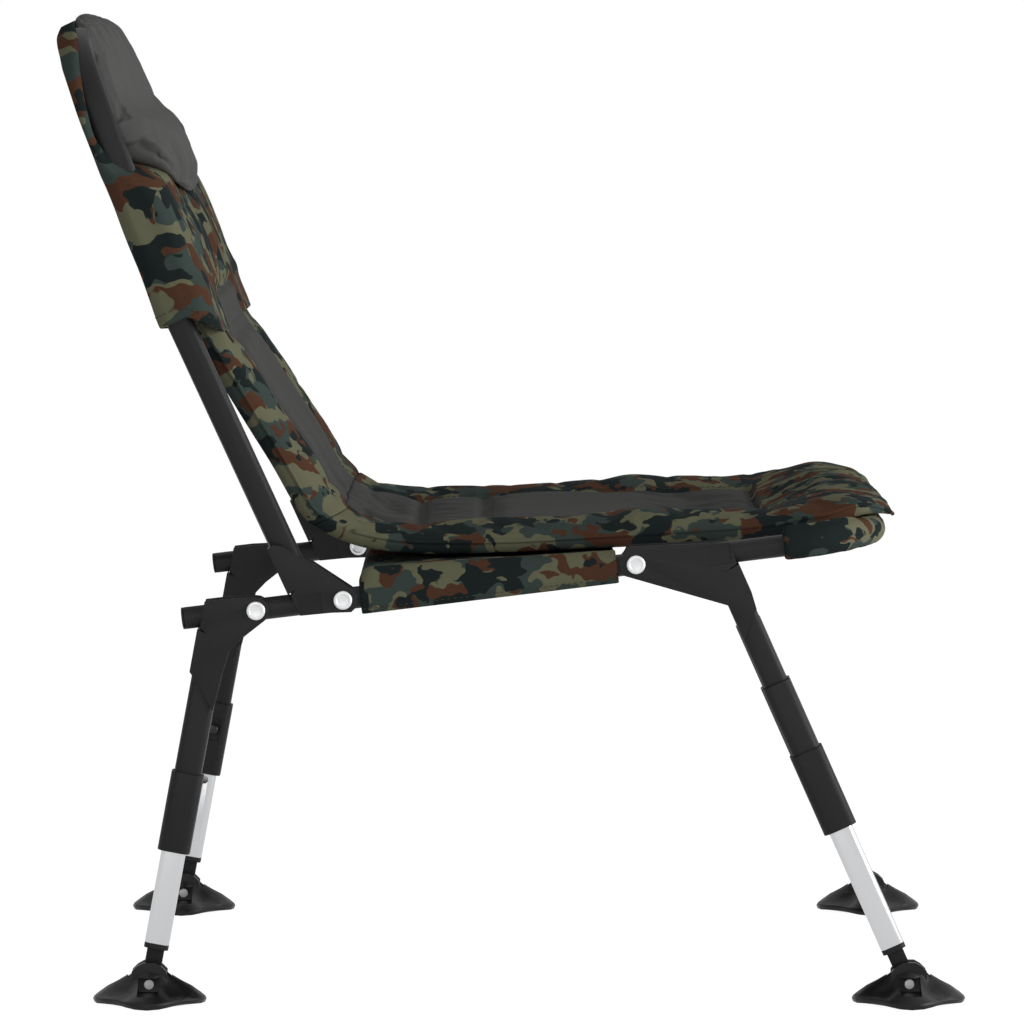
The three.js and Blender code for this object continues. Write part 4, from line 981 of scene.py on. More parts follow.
@dataclass
class Cushion:
    """What the seat's and the backrest's cushions share: how a cover is made, filled and trimmed.

    A cushion of its own gives its frame, the point that would stay as it flattened (it isn't flattened), its
    rings' places along it, its thickness and its section, relief, held places, panel, clipping and trim.
    """

    node: ClassVar[str]
    body: ClassVar[str]
    form_rows: ClassVar[tuple]
    thin_axis: ClassVar[Point]
    kept_thickness: ClassVar[float]
    half_width: ClassVar[float] = 244.0

    goods: SoftGoods

    def __post_init__(self) -> None:
        """Reads the shape table once."""
        self.forms = [Profile(self.form_rows, column) for column in range(1, len(self.form_rows[0]))]

    def build(self) -> list[Piece]:
        """Makes the cushion, its piping and its stitches.

        Returns:
            The cushion first, then its trim.
        """
        goods, out, into = self.goods, self.frame, self.frame.inverted()
        sections = [self.section(share) for share in self.along]
        rings = [[out @ point for point in self.shape.ring(section, self.thickness)] for section in sections]
        cushion = mesh_from_rings(f"{self.node}_padded", rings)
        pad = Pad(cushion, self.along, self.shape.marks())
        held = [self.held(share, v) for _, share, v in pad.each()] + [1.0, 1.0]
        goods.inflate(cushion, held, pressure=2.6, slack=0.01, cap_mm=3.5)
        goods.raise_relief(pad, self.relief)
        # The middle panel gets the darker grey: painted shade on the grey cloth.
        goods.palette.dress(cushion, "camouflage_cloth", "grey_panel")
        goods.paint(pad, self.in_panel)
        trim = self.trim(pad)
        goods.keep_end_sharp(pad)
        goods.refine(cushion)
        for vertex in cushion.data.vertices:
            vertex.co = out @ self.clipped(into @ vertex.co)
        goods.stand_in(cushion, self.body, self.node, fill=0.6)
        goods.give_way([cushion, *trim], out, self.thin_axis, self.still, self.kept_thickness)
        return [cushion, *trim]

    def edges(self, pad: Pad, kept: slice, thread: slice) -> list[Piece]:
        """Adds the piping along both edges and the thread beside the panel.

        Args:
            pad: the cushion's mesh.
            kept: the part of the length that has piping.
            thread: the part of the length that has thread.

        Returns:
            The piping and the thread of the left side, then of the right.
        """
        word = self.node.split("_")[0]
        way = self.goods.space.turned(self.frame, self.thin_axis)
        pieces = []
        for side in Side:
            path = pad.line(side.value)[kept]
            pieces.append(self.goods.piping(f"{word}_piping_{side.word}", path, self.body))
            row = pad.line(side.value * (self.shape.panel + 0.03))[thread]
            pieces.append(self.goods.stitches(f"{word}_stitches_{side.word}", row, self.body, lambda p: way))
        return pieces


@dataclass
class SeatCushion(Cushion):
    """The long seat pad, from the crease at the backrest to the front edge."""

    node: ClassVar[str] = "seat_cushion"
    body: ClassVar[str] = "seat"
    thin_axis: ClassVar[Point] = (0.0, 0.0, 1.0)
    kept_thickness: ClassVar[float] = 0.28
    under_rows: ClassVar[tuple] = (
        (0, 1.26), (0.012, 1.16), (0.03, 1.03), (0.08, 0.78), (0.146, 0.6), (0.24, 0.47), (0.333, 0.38),
        (0.43, 0.32), (0.51, 0.27), (0.63, 0.2), (0.8, 0.12), (0.86, 0.13), (0.89, 0.16), (0.905, 0.2),
        (0.93, 0.265), (0.945, 0.28), (0.98, 0.23), (0.993, 0.17),
    )
    form_rows: ClassVar[tuple] = (
        (0, 0.98, 0.5, 0.9, 0.1), (0.02, 0.97, 0.48, 0.92, 0.15), (0.05, 0.95, 0.46, 0.92, 0.2),
        (0.1, 0.94, 0.46, 0.88, 0.35), (0.17, 0.94, 0.42, 0.9, 0.45), (0.3, 1.02, 0.4, 0.95, 0.4),
        (0.42, 0.98, 0.38, 0.95, 0.5), (0.5, 1.08, 0.38, 0.96, 0.6), (0.56, 1.22, 0.38, 0.95, 0.7),
        (0.64, 1.08, 0.38, 0.95, 0.9), (0.78, 0.92, 0.4, 0.95, 0.9), (0.84, 0.85, 0.48, 0.95, 0.5),
        (0.9, 0.77, 0.46, 0.82, 0.05), (0.95, 0.52, 0.34, 0.58, 0.0), (0.985, 0.24, 0.14, 0.28, 0.0),
        (0.993, 0.12, 0.07, 0.14, 0.0),
    )
    corner_rows: ClassVar[tuple] = (
        (0, 1.0), (0.05, 1.0), (0.84, 1.0), (0.93, 0.97), (0.965, 0.93), (0.985, 0.88), (0.993, 0.85),
    )

    start: float = 118.0
    length: float = 502.0
    rise: float = 50.0
    thickness: float = 26.0
    sag: float = 20.0
    panel_end: float = 0.774
    seams: tuple[float, ...] = (0.168, 0.285)
    crease_at: float = 66.2
    still_height: float = -4.0
    stations: int = 126
    end_share: float = 0.993
    shape: PadShape = field(default_factory=PadShape)

    def __post_init__(self) -> None:
        """Reads the shape tables and places the crease once."""
        super().__post_init__()
        self.under, self.corner = Profile(self.under_rows), Profile(self.corner_rows)
        space = self.goods.space
        self.frame, self.still = space.seat, (self.start, 0.0, self.still_height)
        self.along = graded(self.stations, 0.0, self.end_share, (*self.seams, self.panel_end))
        turn = math.radians(space.slope_deg - space.recline_deg)
        self.crease_normal = Vector((math.sin(turn), 0.0, math.cos(turn)))
        self.hinge = Vector((space.back_pivot_at, 0.0, 0.0))

    def section(self, share: float) -> PadSection:
        """The pad's cross section at a share of its length."""
        step = 0.004
        slope = (self.under(share + step) - self.under(share - step)) * self.rise / (2 * step * self.length)
        up = Vector((-slope, 0.0, 1.0)).normalized()
        roll, piping, middle, sag = (form(share) for form in self.forms)
        place = Vector((self.start + share * self.length, 0.0, self.under(share) * self.rise))
        half = self.half_width * self.corner(share)
        return PadSection(place, up, half, roll, piping, middle, sag * self.sag)

    def in_panel(self, share: float, v: float) -> bool:
        """Whether a place belongs to the grey middle panel."""
        return abs(v) < self.shape.panel and share < self.panel_end

    def clipped(self, point: Vector) -> Vector:
        """A point of the cover, moved back onto the crease that it shares with the backrest's cushion."""
        over = self.crease_normal.dot(point - self.hinge) - self.crease_at
        return point - self.crease_normal * max(over, 0.0)

    def relief(self, share: float, v: float) -> float:
        """Seam grooves, gathers and soft unevenness over the form, in millimetres."""
        along, y = share * self.length, v * self.half_width
        edge = abs(abs(v) - self.shape.panel) * self.half_width
        total = 1.1 * lumps(along, y, 80.0, 3.0)
        if share < self.panel_end + 0.012:
            total -= 4.2 * math.exp(-((edge / 3.4) ** 2))
            total += 0.7 * gathers(y, along, 16.0, 60.0, 1.0) * math.exp(-edge / 12)
        if abs(v) < self.shape.panel + 0.015:
            for seam in (*self.seams, self.panel_end):
                away = abs(share - seam) * self.length
                total -= 4.6 * math.exp(-((away / 3.6) ** 2))
                total += 0.8 * gathers(along, y, 18.0, 55.0, 9 * seam) * math.exp(-away / 13)
        front = smooth_step(self.panel_end, self.panel_end + 0.06, share)
        side = smooth_step(self.shape.panel, self.shape.panel + 0.2, abs(v))
        total += front * (1 - 0.6 * side) * 3.6 * gathers(along + 0.25 * y, y, 15.0, 70.0, 5.0)
        total += (1 - front) * side * 0.8 * gathers(along, y, 22.0, 120.0, 6.0)
        rear = 1 - smooth_step(0.03, 0.15, share)
        total += rear * 0.7 * gathers(y, along, 30.0, 110.0, 2.0)
        return total

    def held(self, share: float, v: float) -> float:
        """How firmly the cover is held while it is filled."""
        if abs(v) > 1 or share in (0.0, self.end_share):
            return 1.0
        edge = min(abs(abs(v) - self.shape.panel), 1 - abs(v)) * self.half_width
        if abs(v) <= self.shape.panel:
            edge = min([edge] + [abs(share - seam) * self.length for seam in (*self.seams, self.panel_end)])
        if share > self.panel_end:
            edge = (1 - abs(v)) * self.half_width
        return 1.0 if edge < 4.5 else 0.0

    def trim(self, pad: Pad) -> list[Piece]:
        """Adds the piping along both edges and the thread beside the seams."""
        up = self.goods.space.turned(self.frame, self.thin_axis)
        panel = self.shape.panel
        last = next(i for i, share in enumerate(pad.along) if share > self.panel_end)
        pieces = self.edges(pad, slice(7, None), slice(12, last))
        rows = [pad.row(seam + 0.014, 0.02 - panel, panel - 0.02) for seam in self.seams]
        rows.append(pad.row(self.panel_end + 0.015, -panel, panel))
        for number, row in enumerate(rows, 1):
            pieces.append(self.goods.stitches(f"seat_seam_stitches_{number}", row, self.body, lambda p: up))
        return pieces


@dataclass
class BackCushion(Cushion):
    """The pad of the backrest, between the seat and the hood."""

    node: ClassVar[str] = "back_cushion"
    body: ClassVar[str] = "backrest"
    thin_axis: ClassVar[Point] = (1.0, 0.0, 0.0)
    kept_thickness: ClassVar[float] = 0.3
    form_rows: ClassVar[tuple] = (
        (0, -0.02, 1.0, 0.4, 0.96), (0.08, -0.2, 0.97, 0.38, 0.93), (0.28, -0.32, 0.92, 0.36, 0.9),
        (0.48, -0.5, 0.86, 0.36, 0.86), (0.75, -0.73, 0.84, 0.36, 0.84), (0.95, -0.9, 0.84, 0.4, 0.84),
        (1, -0.93, 0.8, 0.44, 0.8),
    )

    hood: HeadHood
    low: float = 66.6
    high: float = 280.0
    thickness: float = 34.0
    depth: float = 30.0
    hollow: float = 4.0
    still_depth: float = -14.0
    stations: int = 66
    shape: PadShape = field(default_factory=lambda: PadShape(panel=0.65, roll_at=0.85))

    def __post_init__(self) -> None:
        """Reads the shape table and takes the backrest's frame."""
        super().__post_init__()
        self.frame, self.still = self.goods.space.back, (self.still_depth, 0.0, self.low)
        self.along = spread(self.stations)

    def section(self, share: float) -> PadSection:
        """The pad's cross section at a share of its length."""
        rear, roll, piping, middle = (form(share) for form in self.forms)
        under = Vector((rear * self.depth, 0.0, self.low + share * (self.high - self.low)))
        return PadSection(under, Vector((1.0, 0.0, 0.0)), self.half_width, roll, piping, middle, self.hollow)

    def in_panel(self, share: float, v: float) -> bool:
        """Whether a place belongs to the grey middle panel."""
        return abs(v) < self.shape.panel

    def clipped(self, point: Vector) -> Vector:
        """A point of the cover, kept between the seat's cushion and the hood's lower edge."""
        top = self.hood.low - self.hood.lip_drop(point.x) - 0.4
        return Vector((point.x, point.y, min(max(point.z, self.low), top)))

    def relief(self, share: float, v: float) -> float:
        """Seam grooves, gathers and soft unevenness over the form, in millimetres."""
        z, y = share * (self.high - self.low), v * self.half_width
        edge = abs(abs(v) - self.shape.panel) * self.half_width
        total = 1.5 * lumps(z, y, 75.0, 13.0)
        total -= 4.0 * math.exp(-((edge / 3.4) ** 2))
        total += 0.6 * gathers(y, z, 18.0, 60.0, 11.0) * math.exp(-edge / 12)
        total += 1.5 * math.exp(-z / 30) * gathers(y, z, 28.0, 90.0, 12.0)
        side = smooth_step(self.shape.panel, self.shape.panel + 0.2, abs(v))
        total += side * 0.7 * gathers(z, y, 22.0, 120.0, 16.0)
        return total

    def held(self, share: float, v: float) -> float:
        """How firmly the cover is held while it is filled."""
        if abs(v) > 1 or share == 0.0 or share > 0.8:
            return 1.0
        edge = min(abs(abs(v) - self.shape.panel), 1 - abs(v)) * self.half_width
        return 1.0 if edge < 4.5 else 0.0

    def trim(self, pad: Pad) -> list[Piece]:
        """Adds the piping along both edges and the thread beside the panel."""
        under_hood = 243.0
        run = self.high - self.low
        last = next(i for i, share in enumerate(pad.along) if share * run + self.low > under_hood) - 1
        return self.edges(pad, slice(1, -4), slice(2, last))


@dataclass
class HeadHood:
    """The padded hood over the top of the backrest's tube, with a gathered roll in front."""

    goods: SoftGoods
    low: float = 274.0
    top: float = 551.0
    depth: float = 50.0
    half_width: float = 289.3
    corner: float = 108.8
    lip: float = 30.0
    lip_from: float = -19.0
    lip_run: float = 27.0
    panel_half: float = 158.6
    panel_top: float = 283.0
    front_round: float = 19.0
    pillow_low: float = 371.0
    pillow_rise: float = 68.0
    rear_round: float = 12.0
    dome: float = 7.0
    panel_level: float = 0.1169
    stations: int = 96
    form_rows: tuple = (
        (-0.15, -0.9, 0.04), (0, -0.9, 0.08), (0.1, -0.86, 0.16), (0.2, -0.81, 0.22),
        (0.285, -0.78, 0.25), (0.35, -0.75, 0.26), (0.42, -0.72, 0.23), (0.46, -0.71, 0.1),
        (0.51, -0.7, -0.22), (0.56, -0.68, -0.46), (0.62, -0.66, -0.54), (0.715, -0.64, -0.46),
        (0.856, -0.59, -0.26), (0.93, -0.54, -0.14), (0.97, -0.48, -0.13), (1, -0.34, -0.12),
    )

    def __post_init__(self) -> None:
        """Reads the shape table once."""
        self.rear = Profile(self.form_rows, 1)
        self.front = Profile(self.form_rows, 2)

    def faces(self, z: float) -> tuple[float, float]:
        """The rear and front faces' places at a height."""
        share = (z - self.low) / (self.top - self.low)
        return self.rear(share) * self.depth, self.front(share) * self.depth

    def half_at(self, z: float) -> float:
        """Half the hood's width at a height."""
        into = max(z - (self.top - self.corner), 0.0)
        across = math.sqrt(max(self.corner**2 - into**2, (self.corner * 0.3) ** 2))
        return self.half_width - self.corner + across

    def lip_drop(self, x: float) -> float:
        """How far the lower edge hangs below the rear one."""
        return self.lip * min(max((x - self.lip_from) / self.lip_run, 0.0), 1.0)

    def corners(self, z: float) -> tuple[float, float]:
        """The radii of the front and rear corners at a height."""
        x0, x1 = self.faces(z)
        depth = x1 - x0
        return max(min(depth * 0.64, self.front_round), 0.5), max(min(depth * 0.3, self.rear_round), 0.3)

    def front_at(self, y: float, z: float) -> float:
        """The front face's place, with its rounded side corner."""
        radius = self.corners(z)[0]
        into = min(max(abs(y) - (self.half_at(z) - radius), 0.0), radius)
        return self.faces(z)[1] - radius + math.sqrt(max(radius**2 - into**2, 0.0))

    def outline(self, z: float) -> list[tuple[Vector, Vector]]:
        """Points round the hood at one height, each with its outward direction."""
        x0, x1 = self.faces(z)
        half = self.half_at(z)
        ahead, behind = self.corners(z)
        front, left = Vector((1.0, 0.0, 0.0)), Vector((0.0, 1.0, 0.0))
        result: list[tuple[Vector, Vector]] = []
        for y in graded(131, ahead - half, half - ahead, (-self.panel_half, self.panel_half)):
            result.append((Vector((x1, y, z)), front))
        for turn in (0, 90, 180, 270):
            radius = ahead if turn in (0, 270) else behind
            sign_y = 1 if turn in (0, 90) else -1
            pivot = Vector((x1 - ahead if turn in (0, 270) else x0 + behind, sign_y * (half - radius), z))
            for step in spread(11)[1:-1]:
                angle = math.radians(turn + 90 * step)
                facing = Vector((math.cos(angle), math.sin(angle), 0.0))
                result.append((pivot + facing * radius, facing))
            if turn == 0:
                result += [(Vector((x, half, z)), left) for x in spread(5, x1 - ahead, x0 + behind)]
            elif turn == 90:
                result += [(Vector((x0, y, z)), -front) for y in spread(75, half - behind, behind - half)]
            elif turn == 180:
                result += [(Vector((x, -half, z)), -left) for x in spread(5, x0 + behind, x1 - ahead)]
        return result

    def relief(self, point: Vector, facing: Vector) -> float:
        """Two bulges with long upright folds in front and slack cloth elsewhere, in millimetres."""
        y, z = point.y, point.z
        total = 1.2 * lumps(y + point.x, z, 80.0, 19.0)
        front = max(facing.x, 0.0)
        inner = 1 - smooth_step(self.panel_half - 6, self.panel_half + 4, abs(y))
        roll = smooth_step(self.panel_top - 3, self.panel_top + 12, z) * (1 - smooth_step(385, 400, z))
        folds = 2.1 * gathers(z, y, 10.5, 150.0, 21.0) + 1.5 * gathers(z + 0.2 * abs(y), y, 26.0, 170.0, 24.0)
        total += front * roll * (folds - 11.0 * math.exp(-((y / 24) ** 2)))
        rim = self.pillow_low + self.pillow_rise * (abs(y) / 280) ** 2.5
        open_front = front * smooth_step(288, 318, z) * (1 - smooth_step(rim - 26, rim - 4, z))
        total -= open_front * 4.0 * (max(abs(y) - 105, 0) / 150) ** 2
        total -= open_front * 3.5 * math.exp(-(((abs(y) - self.half_at(z) + 22) / 4.5) ** 2))
        total -= front * roll * 3.0 * smooth_step(338, 372, z) * (1 - smooth_step(120, 200, abs(y)))
        total -= front * inner * 5.5 * math.exp(-(((z - self.panel_top) / 4.5) ** 2))
        total -= front * 2.6 * (1 - smooth_step(self.panel_top - 26, self.panel_top - 4, z)) * inner
        below = 1 - smooth_step(self.panel_top - 6, self.panel_top + 2, z)
        total -= front * below * 3.4 * math.exp(-(((abs(y) - self.panel_half) / 3.4) ** 2))
        total += (1 - front) * max(abs(facing.y), 0.0) * 1.6 * gathers(z, point.x, 17.0, 120.0, 23.0)
        total += max(-facing.x, 0.0) * 1.8 * gathers(z + 0.2 * y, y, 45.0, 180.0, 25.0)
        hem = 1 - smooth_step(0, 14, z - (self.low - self.lip_drop(point.x)))
        return total * (1 - 0.6 * hem * (1 - front * inner))

    def build(self) -> list[Piece]:
        """Makes the hood and the stitches along its hem.

        Returns:
            The hood first, then its stitches.
        """
        space = self.goods.space
        rings: list[Ring] = []
        levels = graded(self.stations, 0.0, 1.0, (self.panel_level,))
        places: list[tuple[Vector, Vector]] = []
        for t in levels:
            ring: Ring = []
            level = self.low + t * (self.top - self.low)
            for point, facing in self.outline(level):
                drop = self.lip_drop(point.x) * (1 - t) ** 2
                drop += self.dome * (point.y / self.half_width) ** 2 * t**6
                place = Vector((point.x, point.y, level - drop))
                place.x += (self.faces(place.z)[1] - self.faces(level)[1]) * max(facing.x, 0.0)
                places.append((place, facing))
                ring.append(space.back @ place)
            rings.append(ring)
        hood = mesh_from_rings("head_hood_padded", rings)
        count = len(rings[0])
        rotation = space.back.to_3x3().normalized()
        for index, (place, facing) in enumerate(places):
            hood.data.vertices[index].co += rotation @ facing * self.relief(place, facing) * MM
        # The panel below the front roll gets the darker grey: painted shade on the grey cloth.
        self.goods.palette.dress(hood, "camouflage_hood", "grey_panel")
        for polygon in hood.data.polygons:
            if len(polygon.vertices) == 4 and max(polygon.vertices) < len(places):
                spots = [places[i] for i in polygon.vertices]
                height = sum(p.z for p, _ in spots) / 4
                aside = sum(abs(p.y) for p, _ in spots) / 4
                if all(f.x > 0.99 for _, f in spots) and height < self.panel_top and aside < self.panel_half:
                    polygon.material_index = 1
        self.goods.refine(hood)
        self.goods.stand_in(hood, "backrest", "head_hood", fill=0.4)
        sewn_ring, core_depth, core_half = 4, -12, 262
        sewn = [i for i in range(count) if places[i][1].x < 0.9]
        row = [hood.data.vertices[sewn_ring * count + i].co.copy() for i in sewn]
        flat = space.turned(space.back, (0.0, 0.0, 1.0))

        def outward(point: Vector) -> Vector:
            """Away from the hood's middle line, level with the hem."""
            local = space.back.inverted() @ point
            aside = math.copysign(min(abs(local.y), core_half), local.y)
            core = Vector((local.x * 0.2 + core_depth, aside, local.z))
            away = point - space.back @ core
            return away - flat * away.dot(flat)

        return [hood, self.goods.stitches("hood_hem_stitches", row, "backrest", outward, lift_mm=0.5)]


@dataclass
class HeadPillow:
    """The grey pillow on the hood: a neck roll below and a flatter head part above."""

    goods: SoftGoods
    hood: HeadHood
    half_width: float = 280.0
    low: float = 371.0
    height: float = 185.0
    thickness: float = 25.0
    end_thinning: float = 4.0
    corner_rise: float = 68.0
    corner_power: float = 2.5
    top_radius: float = 118.0
    dome: float = 9.0
    droop: float = 9.0
    edge_round: float = 24.0
    low_round: float = 22.0
    high_round: float = 32.0
    sunk: float = 1.6
    rear_sunk: float = 2.2
    deepest: float = 2.4
    top_margin: float = 4.0
    rear_steps: int = 8
    front_rows: tuple = (
        (0, 0.3), (0.1, 0.72), (0.19, 0.9), (0.28, 0.92), (0.37, 0.66), (0.46, 0.3), (0.56, 0.18),
        (0.66, 0.22), (0.76, 0.28), (0.86, 0.26), (0.93, 0.06), (1, -0.4),
    )
    stations: int = 131
    rise_steps: int = 60

    def __post_init__(self) -> None:
        """Reads the shape table once."""
        self.front = Profile(self.front_rows)

    def hood_at(self, y: float, z: float) -> float:
        """The place of the hood's front face behind the pillow."""
        return self.hood.front_at(y, min(z, self.hood.top - self.top_margin))

    def edge(self, side: float, below: float, above: float) -> float:
        """The share of its thickness that the pillow has, by its distances from its edges."""
        aside = 1 - min(max(side, 0.0) / self.edge_round, 1.0)
        low = 1 - min(max(below, 0.0) / self.low_round, 1.0)
        high = 1 - min(max(above, 0.0) / self.high_round, 1.0)
        out = (aside**2.4 + max(low, high) ** 2.4) ** (1 / 2.4)
        return max(1 - out**3, 0.0) ** (1 / 3)

    def places(self) -> list[float]:
        """The rings' places across, closer together near the ends."""
        flat = self.half_width - self.edge_round
        end = [flat + self.edge_round * math.sin(share * math.pi / 2) ** 0.8 for share in spread(19)[1:]]
        return [-y for y in reversed(end)] + spread(self.stations, -flat, flat) + end

    def ring(self, y: float) -> list[Vector]:
        """One ring round the pillow, from its lower seam up the front and down the back."""
        v = min(abs(y) / self.half_width, 1.0)
        low = self.low + self.corner_rise * v**self.corner_power
        into = max(v * self.half_width - (self.half_width - self.top_radius), 0.0)
        high = self.low + self.height - self.top_radius + math.sqrt(max(self.top_radius**2 - into**2, 0.0))
        high -= self.dome * min(v / 0.7, 1.0) ** 2
        span = max(high - low, self.corner_rise / 4)
        points = []
        for t in spread(self.rise_steps):
            t -= 0.5 * math.sin(2 * math.pi * t) / (2 * math.pi)
            z = low + t * span
            rear = self.hood_at(y, z)
            front = self.front((z - self.low) / self.height) * self.thickness - self.end_thinning * v**4
            share = self.edge(self.half_width - abs(y), t * span, (1 - t) * span)
            full = (max(front - rear, 4.0) + self.sunk) * share
            z -= self.droop * math.sin(math.pi * min(t / 0.3, 1.0)) * min(full / self.thickness, 1.0)
            points.append(Vector((rear - self.sunk + full, y, z)))
        for t in spread(self.rear_steps + 2, 1.0, 0.0)[1:-1]:
            z = low + t * span
            points.append(Vector((self.hood_at(y, z) - self.rear_sunk, y, z)))
        return points

    def relief(self, t: float, y: float, z: float) -> float:
        """Puckers along the pillow's seam, a slack fold and soft unevenness, in millimetres."""
        rise = min(t, 1 - t) * self.height
        ends = self.half_width - abs(y)
        total = 0.8 * math.exp(-rise / 12) * gathers(z, y, 16.0, 45.0, 31.0)
        total += 0.9 * math.exp(-ends / 30) * gathers(y, z, 20.0, 80.0, 32.0)
        total += 0.9 * lumps(y, z, 90.0, 33.0)
        total += 2.2 * smooth_step(0.55, 0.72, t) * gathers(y * 0.4 + z, y, 40.0, 90.0, 35.0)
        fold = t - 0.5 - 0.05 * noise.noise(Vector((y / 90, 3.0, 4.0)))
        total -= 1.6 * math.exp(-((fold / 0.04) ** 2))
        return total

    def build(self) -> list[Piece]:
        """Makes the pillow."""
        space = self.goods.space
        places = self.places()
        rings = [[space.back @ point for point in self.ring(y)] for y in places]
        pillow = mesh_from_rings("head_pillow_padded", rings)
        count = self.rise_steps + self.rear_steps
        held = []
        for y in places:
            for k in range(count):
                t = k / (self.rise_steps - 1)
                sewn = k >= self.rise_steps or min(t, 1 - t) < 0.03 or self.half_width - abs(y) < 3
                held.append(1.0 if sewn else 0.0)
        self.goods.inflate(pillow, held + [1.0, 1.0], pressure=2.4, slack=0.02, cap_mm=3.0)
        normals = [vertex.normal.copy() for vertex in pillow.data.vertices]
        inverse = space.back.inverted()
        for r, y in enumerate(places):
            for k in range(self.rise_steps):
                t = k / (self.rise_steps - 1)
                vertex = pillow.data.vertices[r * count + k]
                local = inverse @ vertex.co
                fade = math.sqrt(math.sin(math.pi * t)) * smooth_step(0.0, 14.0, self.half_width - abs(y))
                vertex.co += normals[vertex.index] * self.relief(t, local.y, local.z) * fade * MM
        for vertex in pillow.data.vertices:
            local = inverse @ vertex.co
            local.x = max(local.x, self.hood_at(local.y, local.z) - self.deepest)
            vertex.co = space.back @ local
        self.goods.palette.dress(pillow, "grey_cloth")
        self.goods.refine(pillow)
        self.goods.stand_in(pillow, "backrest", "head_pillow", fill=0.75, slot="grey_cloth")
        return [pillow]


@dataclass
class SeatSling:
    """The cloth under the seat pad, folded round both rails and sewn to itself."""

    goods: SoftGoods
    cushion: SeatCushion
    rear_end: float = 151.5
    front_end: float = 373.5
    rear_rise: float = 26.0
    front_rise: float = 14.0
    hem_radius: float = 11.7
    hem_depth: float = 11.7 * 1.28
    hem_start: float = 188.0
    hem_turn: float = 262.0
    hem_steps: int = 26
    cloth: float = 1.3
    stations: int = 60

    def top(self, along: float, y: float, rise: float) -> float:
        """The sling's height over the rails' centre lines."""
        share = (along - self.cushion.start) / self.cushion.length
        section = self.cushion.section(share)
        v = min(abs(y) / (self.cushion.half_width - 3.0), 1.0)
        return min(rise, section.under.z - section.sag * (1 - v * v) - 1.6)

    def path(self, along: float) -> list[Vector]:
        """The cloth's line across the chair, from one inner hem edge to the other."""
        share = (along - self.rear_end) / (self.front_end - self.rear_end)
        rise = self.rear_rise + (self.front_rise - self.rear_rise) * share
        half_track = self.goods.space.half_track
        hem: list[tuple[float, float]] = []
        for i in range(self.hem_steps + 1):
            angle = math.radians(self.hem_start + self.hem_turn * i / self.hem_steps)
            up = math.sin(angle)
            flat = self.hem_radius * (1.0 if up <= 0 else 1.0 - 0.1 * up)
            hem.append((math.cos(angle) * flat, up * (rise if up > 0 else self.hem_depth)))
        slack = 0.9 * gathers(along, 0.0, 22.0, 60.0, 41.0)
        into = min((along - self.rear_end) / 13, 1.0)
        tuck = 0.5 + 0.5 * math.sqrt(max(1 - (1 - into) ** 2, 0.0))
        right = [Vector((along, half_track + y, z * (tuck if z > 0 else 1.0))) for y, z in hem]
        for point, (y, z) in zip(right, hem):
            out = max(y, 0.0) / self.hem_radius
            point.y += out * 0.7 * gathers(along + 0.8 * z, z, 9.0, 42.0, 43.0)
        inner = half_track - 4
        across = [Vector((along, y, self.top(along, y, rise * tuck))) for y in spread(64, inner, -inner)]
        for point in across:
            point.z -= 0.6 + 0.5 * slack
        left = [Vector((p.x, -p.y, p.z)) for p in reversed(right)]
        return [*right, *across, *left]

    def build(self) -> list[Piece]:
        """Makes the sling and the stitches along its hems.

        Returns:
            The sling first, then its stitches.
        """
        space = self.goods.space
        rows = [self.path(along) for along in spread(self.stations, self.rear_end, self.front_end)]
        count = len(rows[0])
        points = [tuple(space.seat @ p) for row in rows for p in row]
        faces = [
            (r * count + i, r * count + i + 1, (r + 1) * count + i + 1, (r + 1) * count + i)
            for r in range(len(rows) - 1) for i in range(count - 1)
        ]
        sling = new_piece("seat_sling_cloth", points, faces)
        lengths = [sum((b - a).length for a, b in zip(row, row[1:])) * MM for row in rows]
        normal = sling.data.polygons[len(sling.data.polygons) // 2].normal
        upward = space.turned(space.seat, (0.0, 0.0, 1.0)).dot(normal) > 0
        add_modifier(sling, "SOLIDIFY", thickness=self.cloth * MM, offset=-1.0 if upward else 1.0)
        apply_modifiers(sling)
        self.goods.refine(sling)
        self.goods.palette.dress(sling, "camouflage_cloth")
        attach(sling, "seat")
        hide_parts("seat_sling")
        pieces = [sling]
        for side in Side:
            for label, place, facing in (("hem", 13, 1.0), ("fold", 2, -1.0)):
                index = place if side is Side.LEFT else count - 1 - place
                path = [space.seat @ row[index] for row in rows]
                out = Vector((0.0, side.value * facing, -0.7))
                name = f"sling_{label}_stitches_{side.word}"
                pieces.append(self.goods.stitches(name, path, "seat", lambda p, o=out: o))
        still = (self.rear_end, 0.0, -self.hem_depth)
        self.goods.give_way(pieces, space.seat, (0.0, 0.0, 1.0), still, 0.8)
        return pieces


